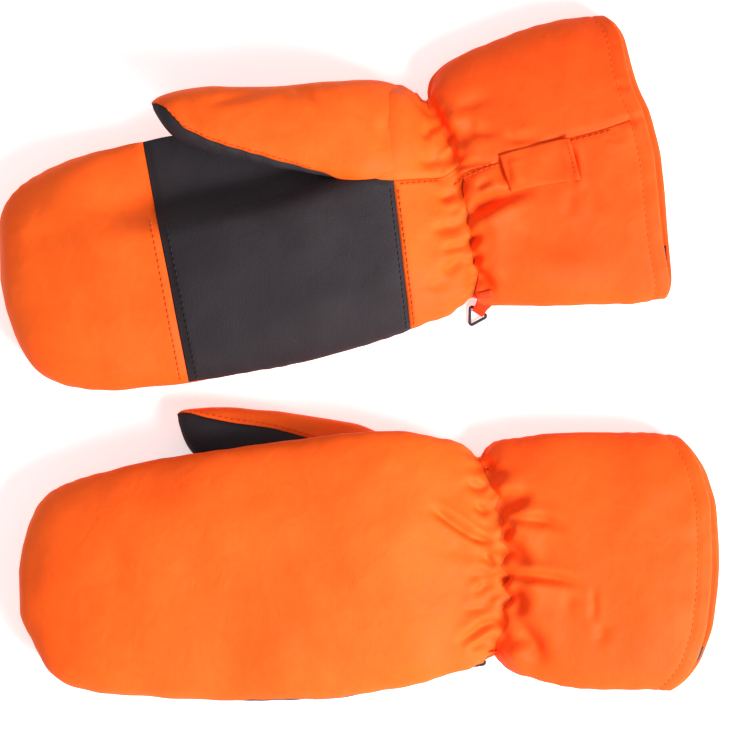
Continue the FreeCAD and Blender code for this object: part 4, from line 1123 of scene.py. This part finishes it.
    # lining, seen in the mouth
    rows = span(float(S.i_of(13.0)), float(S.i_of(20.45)), 2)
    Jl = span(0, M, 2)[:-1]
    Q, N = S.point(np.repeat(rows[:, None], len(Jl), 1), np.repeat(Jl[None], len(rows), 0))
    dep = np.interp(S.s_of(rows), [13.0, 14.2, 15.5, 20.4], [8.0e-3, 7.0e-3, 6.0e-3, 3.9e-3])
    Q = Q - N * dep[:, None, None] + N * (0.35e-3 * noise3(Q, 0.006, 77))[..., None]
    mz = (Q[:, :, 2].max(1) + Q[:, :, 2].min(1)) / 2
    lin = new_mesh(p + "cuff_lining_fleece", Q.reshape(-1, 3), patch_faces(len(rows), len(Jl), up < 0, closed=True), FLEECE)
    rows = span(float(S.i_of(3.0)), float(S.i_of(13.1)), 1)
    tt = np.concatenate([sk.t, sk.t[1:-1][::-1]]); sd = np.array([1] * (K + 1) + [-1] * (K - 1))
    SS = np.repeat(S.s_of(rows)[:, None], M, 1); TT = np.repeat(tt[None], len(rows), 0)
    Q = np.where((sd > 0)[None, :, None], F.point(1, SS, TT, 8.5e-3), F.point(-1, SS, TT, 8.5e-3))
    keep = rows >= float(S.i_of(6.4))
    lin2 = new_mesh(p + "hand_lining_fleece", Q[keep].reshape(-1, 3), patch_faces(int(keep.sum()), M, up < 0, closed=True) + [list(range(M))], FLEECE)

    # thumb
    FT, tk, TG = thumb_skin(hand)
    TS = Surf(TG, tk, thumb_relief(hand, tk), -1 if up > 0 else 1); TS.flip_faces = up > 0
    rows = span(0, tk.n - 1)
    sv = TS.s_of(rows)
    jl = np.interp(np.interp(sv, np.arange(11), T_LO), tk.t, np.arange(tk.K + 1))
    ju = tk.M - np.interp(np.interp(sv, np.arange(11), T_UP), tk.t, np.arange(tk.K + 1))
    no = int(round((ju - jl).mean() * REF)); nb = int(round((tk.M - ju + jl).mean() * REF))
    to = piece(p + "thumb_outer", TS, rows, jl[:, None] + (ju - jl)[:, None] * np.linspace(0, 1, no + 1)[None], ORANGE, rims=("j0", "j1"), depth=1.4e-3)
    tg = piece(p + "thumb_grip", TS, rows, ju[:, None] + (tk.M + jl - ju)[:, None] * np.linspace(0, 1, nb + 1)[None], BLACK, rims=("j0", "j1"), depth=1.4e-3)

    # sewing
    def row_line(s, t0, t1, side, n=160): return on(S, np.full(n, s), np.linspace(t0, t1, n), side)
    kb = Thread(); ob_ = Thread(); cu = Thread()
    for s in (6.16, 11.26):
        kb.row(*row_line(s, -0.97, 0.40 if s < 7 else HEEL_T - 0.03, 1))
    for s in (5.86,):
        ob_.row(*row_line(s, -0.97, 0.40, 1))
    ob_.row(*row_line(11.53, -0.96, HEEL_T - 0.03, 1))
    n = 60
    ob_.row(*on(S, np.linspace(11.6, 13.8, n), np.full(n, HEEL_T - 0.035), 1))
    for sd in (1, -1):
        jj = S.j_of(np.linspace(-0.985, 0.985, 300), sd)
        cu.row(*S.point(hem_row(jj, HEM_W + 0.4e-3), jj), r=0.2e-3, lift=0.05e-3)
    ss = np.linspace(14.9, 20.1, 160)
    cu.row(*on(S, ss, cuff_seam_t(ss) - 0.028, 1))
    kb = kb.build(p + "grip_stitching", THREAD_K); so = ob_.build(p + "hand_stitching", THREAD_O); sc_ = cu.build(p + "cuff_stitching", THREAD_O)
    tb = Thread()
    sv = np.linspace(1.2, 6.6, 150)
    jj = np.interp(np.interp(sv, np.arange(11), T_LO), tk.t, np.arange(tk.K + 1)) + 0.9
    tb.row(*TS.point(TS.i_of(sv), jj), r=0.24e-3)
    jj = tk.M - np.interp(np.interp(sv, np.arange(11), T_UP), tk.t, np.arange(tk.K + 1)) - 0.9
    tb.row(*TS.point(TS.i_of(sv), jj), r=0.24e-3)
    tb = tb.build(p + "thumb_stitching", THREAD_O)

    # self-fabric tab laid along the cuff seam
    if hand == "right":
        corners = [locate(S, *c, 1, 14.5, 21) for c in ((498, 155), (568, 139), (579, 181), (510, 192))]
    else:
        corners = [(17.4, 0.12), (19.0, 0.14), (19.0, -0.10), (17.4, -0.12)]
    nu, nv = 34, 20
    u = np.linspace(0, 1, nu)[:, None]; v = np.linspace(0, 1, nv)[None]
    cn = np.array(corners)
    st = (1 - u[..., None]) * ((1 - v[..., None]) * cn[0] + v[..., None] * cn[3]) + u[..., None] * ((1 - v[..., None]) * cn[1] + v[..., None] * cn[2])
    i = S.i_of(st[..., 0]); j = S.j_of(st[..., 1], 1)
    Q, N = S.point(i, j)
    # it bridges the seam groove and its free end stands up in a wave
    Qs, Ns = S.raw(i, j), S.normal(i, j)
    lift = 1.4e-3 + 1.5e-3 * smooth(u, 0.84, 1.0) * (0.55 + 0.5 * np.sin(v * 8.0 + 0.6)) + 0.25e-3 * np.sin(u * 11 + v * 5)
    rim = np.minimum(np.minimum(u, 1 - u) * 33e-3, np.minimum(v, 1 - v) * 16e-3)
    lift = lift - 0.7e-3 * np.exp(-rim / 0.8e-3) * smooth(u, 0.95, 0.7)
    base = np.maximum((Q - Qs)[..., 2] * up, -0.6e-3) if up > 0 else 0 * lift
    top = Qs + Ns * (lift + np.maximum(((Q - Qs) * Ns).sum(-1), -0.4e-3))[..., None]
    bot = top - Ns * 0.9e-3
    nv_ = nu * nv
    vv = np.concatenate([top.reshape(-1, 3), bot.reshape(-1, 3)])
    ft = patch_faces(nu, nv, up < 0)
    ff = ft + [[x + nv_ for x in q[::-1]] for q in ft]
    bd = [k for k in range(nv)] + [k * nv + nv - 1 for k in range(1, nu)] + [(nu - 1) * nv + k for k in range(nv - 2, -1, -1)] + [k * nv for k in range(nu - 2, 0, -1)]
    side_f = [[bd[k], bd[(k + 1) % len(bd)], bd[(k + 1) % len(bd)] + nv_, bd[k] + nv_] for k in range(len(bd))]
    if up > 0: side_f = [q[::-1] for q in side_f]
    vv[:, 2] = np.maximum(vv[:, 2], 0.3e-3)
    tab = new_mesh(p + "seam_tab", vv, ff + side_f, CUFF_PAINTED_SHADE)
    tabs = Thread()
    def tab_line(uv):
        uv = np.array(uv); k = np.linspace(0, len(uv) - 1, 90)
        U = np.interp(k, np.arange(len(uv)), uv[:, 0]); V_ = np.interp(k, np.arange(len(uv)), uv[:, 1])
        a, b = U * (nu - 1), V_ * (nv - 1)
        def smp(A): 
            a0, b0 = np.clip(np.floor(a).astype(int), 0, nu - 2), np.clip(np.floor(b).astype(int), 0, nv - 2)
            fa, fb = (a - a0)[:, None], (b - b0)[:, None]
            return (1 - fa) * ((1 - fb) * A[a0, b0] + fb * A[a0, b0 + 1]) + fa * ((1 - fb) * A[a0 + 1, b0] + fb * A[a0 + 1, b0 + 1])
        return smp(top), smp(Ns)
    tp, tn = tab_line([(0.95, 0.1), (0.95, 0.9)])
    tp = np.array(tp, float); tp[:, 2] = np.maximum(tp[:, 2], 0.6e-3)
    tabs.row(tp, tn, pitch=2.4e-3, length=1.8e-3, r=0.16e-3)
    tabs = tabs.build(p + "tab_stitching", THREAD_O)

    # small blank woven label at the lining
    ts_, sd_ = (-0.70, -1)
    lb_s = np.linspace(20.3, 21.0, 8)
    Qa, Na = S.point(S.i_of(lb_s)[:, None] + 0 * np.zeros((1, 6)), S.j_of(np.linspace(ts_ - 0.06, ts_ + 0.06, 6), sd_)[None] + np.zeros((8, 1)))
    Qa = Qa - Na * 4.2e-3
    ext = Qa[-1] - Qa[-2]; ext /= np.linalg.norm(ext, axis=1)[:, None]
    Qa = np.concatenate([Qa, Qa[-1:] + ext[None] * LABEL_OUT[hand], Qa[-1:] + ext[None] * (LABEL_OUT[hand] + 0.6e-3) - Na[-1:] * 0.5e-3, Qa[-1:] + ext[None] * LABEL_OUT[hand] - Na[-1:] * 1.0e-3, Qa[-2:-1] - Na[-1:] * 1.0e-3], 0)
    Qa[..., 2] = np.maximum(Qa[..., 2], 0.4e-3)
    lab = new_mesh(p + "blank_label", Qa.reshape(-1, 3), patch_faces(Qa.shape[0], 6, up > 0), LABEL)
    lm = lab.modifiers.new("thick", "SOLIDIFY"); lm.thickness = 0.35e-3; lm.offset = 0

    # webbing loop folded round the ring's bar
    u_, v_, axx, ayy, height, drop = LOOPS[hand]
    root = np.array([*px(u_, v_), height * 1e-3])
    al = np.array([axx, ayy, 0.0]); al /= np.linalg.norm(al)
    bar = root + al * LOOP_REACH; bar[2] = root[2] - drop * 1e-3
    axis = np.array([-al[1], al[0], 0.0])
    dd = bar - root; Ln = np.linalg.norm(dd); dd = dd / Ln
    nn = np.cross(axis, dd)
    ri, ro = 0.95e-3, 1.75e-3
    prof = [(-3.2e-3, 0.75)] + [(-1.2e-3, 0.9)] + [(q, 1.0) for q in np.linspace(0, Ln * 0.92, 7)]
    path = [(a_, b_ * 1.0, 1) for a_, b_ in prof]
    outer, innr = [], []
    for a_, b_ in prof:
        outer.append((a_, ro * b_)); innr.append((a_, ri * b_))
    for q in np.linspace(math.pi / 2, -math.pi / 2, 13):
        outer.append((Ln + ro * math.cos(q), ro * math.sin(q))); innr.append((Ln + ri * math.cos(q), ri * math.sin(q)))
    for a_, b_ in prof[::-1]:
        outer.append((a_, -ro * b_)); innr.append((a_, -ri * b_))
    wd = 3.1e-3
    ks = np.array([-wd, -wd + 0.25e-3, -wd * 0.5, 0, wd * 0.5, wd - 0.25e-3, wd])
    rowsv = []
    for (oa, ob2), (ia_, ib_) in zip(outer, innr):
        flare = 1 + 0.28 * float(smooth(oa, 3.5e-3, -2e-3))
        o3 = root + dd * oa + nn * ob2; i3 = root + dd * ia_ + nn * ib_
        m3 = (o3 + i3) / 2
        loop_ = []
        for k, kk in enumerate(ks): loop_.append((m3 + (o3 - m3) * (0.55 if k in (0, 6) else 1.0)) + axis * kk * flare)
        for k, kk in list(enumerate(ks))[::-1]: loop_.append((m3 + (i3 - m3) * (0.55 if k in (0, 6) else 1.0)) + axis * kk * flare)
        rowsv.append(loop_)
    lv = np.array(rowsv); nl = lv.shape[1]
    lv[..., 2] = np.maximum(lv[..., 2], 0.2e-3)
    lf = patch_faces(lv.shape[0], nl, False, closed=True) + [list(range(nl)), [(lv.shape[0] - 1) * nl + k for k in range(nl)][::-1]]
    loop = new_mesh(p + "webbing_loop", lv.reshape(-1, 3), lf, WEB, smooth=True)
    bt = Thread()
    for s_ in (0.35, 0.55, 0.75):
        q = np.linspace(-wd * 0.8, wd * 0.8, 12)
        bt.row(root + dd * (Ln * s_) + nn * ro + axis * q[:, None], np.repeat(nn[None], 12, 0), pitch=1.15e-3, length=1.0e-3, r=0.2e-3, lift=0.05e-3)
    bt = bt.build(p + "bar_tack_stitching", THREAD_O)

    # the webbing's sewn end lies on the cuff and passes over its edge
    pts = ANCHOR[hand]
    st = [locate(S, x, y, front, 14.4, 20.0) for x, y in pts[:-1]]
    cen, nor = [], []
    for s_, t_ in st:
        q, n_ = on(S, np.array([s_]), np.array([t_]), front, 0.9e-3); cen.append(q[0]); nor.append(n_[0])
    cen.append(root + nn * 1.2e-3 - dd * 0.6e-3); nor.append(nn)
    cen, nor = np.array(cen), np.array(nor)
    k = np.linspace(0, len(cen) - 1, 15)
    cen = np.stack([np.interp(k, np.arange(len(cen)), cen[:, q]) for q in range(3)], 1)
    nor = np.stack([np.interp(k, np.arange(len(nor)), nor[:, q]) for q in range(3)], 1); nor /= np.linalg.norm(nor, axis=1)[:, None]
    for _ in range(3): cen[1:-1] = (cen[:-2] + 2 * cen[1:-1] + cen[2:]) / 4
    tan = np.gradient(cen, axis=0); tan /= np.linalg.norm(tan, axis=1)[:, None]
    acr = np.cross(tan, nor); acr /= np.linalg.norm(acr, axis=1)[:, None]
    wid = np.linspace(4.1e-3, 3.7e-3, 15)
    sec = [(-1, 0.25), (-0.94, 0.5), (-0.45, 0.5), (0, 0.55), (0.45, 0.5), (0.94, 0.5), (1, 0.25), (1, -0.25), (0.94, -0.5), (0.45, -0.5), (0, -0.5), (-0.45, -0.5), (-0.94, -0.5), (-1, -0.25)]
    sv_ = np.array([[cen[q] + acr[q] * (x * wid[q]) + nor[q] * (y * 0.95e-3) for x, y in sec] for q in range(15)])
    anc = new_mesh(p + "webbing_end", sv_.reshape(-1, 3), patch_faces(15, len(sec), False, closed=True) + [list(range(len(sec))), [14 * len(sec) + q for q in range(len(sec))][::-1]], WEB)
    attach(anc, Cu)
    an = Thread()
    for row_ in (2, 3):
        q = np.linspace(-0.8, 0.8, 10)
        an.row(cen[row_] + acr[row_] * (wid[row_] * q[:, None]) + nor[row_] * 0.5e-3, np.repeat(nor[row_][None], 10, 0), pitch=1.2e-3, length=1.05e-3, r=0.2e-3, lift=0.05e-3)
    an = an.build(p + "webbing_end_stitching", THREAD_O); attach(an, Cu)

    # bodies
    for ob in (a, b, c, kb, so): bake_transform(ob)
    for ob in (d, e, lin2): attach(ob, H)
    for ob in (cas, cp, ct, cb, lin, sc_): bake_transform(ob)
    for ob in (hem, tab, tabs, lab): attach(ob, Cu)
    q0 = TS.raw(np.array(float(TS.i_of(8.6))), np.array([0.0, tk.K * 1.0])).mean(0); q1 = TS.raw(np.array(float(TS.i_of(6.4))), np.array([0.0, tk.K * 1.0])).mean(0)
    q0[2] = q1[2]
    for ob in (to, tg, tb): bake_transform(ob)
    for ob in (loop, bt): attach(ob, p + "loop")
    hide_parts(p + "palm_tip_panel", p + "finger_membrane", p + "finger_wadding", p + "finger_lining")
    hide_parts(p + "back_panel_fingers", p + "back_panel_hand", p + "hand_membrane", p + "hand_wadding")
    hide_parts(p + "palm_patch")
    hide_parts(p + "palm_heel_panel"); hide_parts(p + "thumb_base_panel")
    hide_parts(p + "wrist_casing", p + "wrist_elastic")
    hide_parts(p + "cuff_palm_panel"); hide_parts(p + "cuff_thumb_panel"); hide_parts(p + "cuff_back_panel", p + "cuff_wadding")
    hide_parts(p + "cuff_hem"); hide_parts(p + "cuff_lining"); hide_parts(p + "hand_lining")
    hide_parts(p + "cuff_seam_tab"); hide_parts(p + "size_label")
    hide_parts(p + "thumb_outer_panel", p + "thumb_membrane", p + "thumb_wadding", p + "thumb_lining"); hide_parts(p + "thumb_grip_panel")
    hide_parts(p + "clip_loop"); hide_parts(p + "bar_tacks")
    ring = bpy.data.objects.get(p + "clip_ring")
    if ring:
        ring.data.materials.clear(); ring.data.materials.append(RING)


LOOPS = {"right": (485.0, 301.4, -0.52, -0.85, 6.2, 4.6), "left": (489.0, 650.0, -0.78, -0.62, 4.4, 2.8)}
LOOP_REACH = 5.2e-3
ANCHOR = {"right": [(484, 291), (485, 294.5), (485.5, 298), (485, 301.4)], "left": [(488.5, 653), (488.7, 654), (489, 655), (489, 650)]}
LABEL_OUT = {"right": -4.5e-3, "left": 3.0e-3}

t_start = time.time()
for hand in ("right", "left"):
    mitten(hand)
print("mittens built in %.1f s" % (time.time() - t_start))

# ---------------------------------------------------------------- floor, light, camera
fm, fnt, fb = nodes_of("studio_floor")
fb.inputs["Base Color"].default_value = (0.93, 0.93, 0.93, 1); fb.inputs["Roughness"].default_value = 0.9
fb.inputs["Emission Color"].default_value = (1, 1, 1, 1); fb.inputs["Emission Strength"].default_value = 0.50
floor = new_mesh("studio_floor", [(-3, -3, -0.0004), (3, -3, -0.0004), (3, 3, -0.0004), (-3, 3, -0.0004)], [[0, 1, 2, 3]], fm, smooth=False)

scene = bpy.context.scene
world = bpy.data.worlds.new("studio"); scene.world = world; world.use_nodes = True
bg = world.node_tree.nodes["Background"]; bg.inputs["Color"].default_value = (1, 1, 1, 1); bg.inputs["Strength"].default_value = 0.375


def area(name, loc, energy, size, target=(0, 0, 0)):
    L = bpy.data.lights.new(name, "AREA"); L.energy = energy; L.size = size
    o = bpy.data.objects.new(name, L); o.location = loc
    o.rotation_euler = (Vector(target) - Vector(loc)).to_track_quat("-Z", "Y").to_euler()
    scene.collection.objects.link(o)
    return o


area("key", (1.05, -0.8, 1.05), 51, 0.85)
area("fill", (-0.6, 0.8, 1.7), 5, 1.6)

cam = bpy.data.cameras.new("camera"); cam.type = "PERSP"; cam.sensor_fit = "HORIZONTAL"; cam.sensor_width = 36.0
D = 4.0
cam.lens = 36.0 * D / (732 * GRID)
cam.clip_start = 0.1; cam.clip_end = 50
co = bpy.data.objects.new("camera", cam)
co.location = (*px(366, 370.5), D + 0.015)
scene.collection.objects.link(co); scene.camera = co
scene.view_settings.view_transform = "Standard"
scene.view_settings.look = "None"
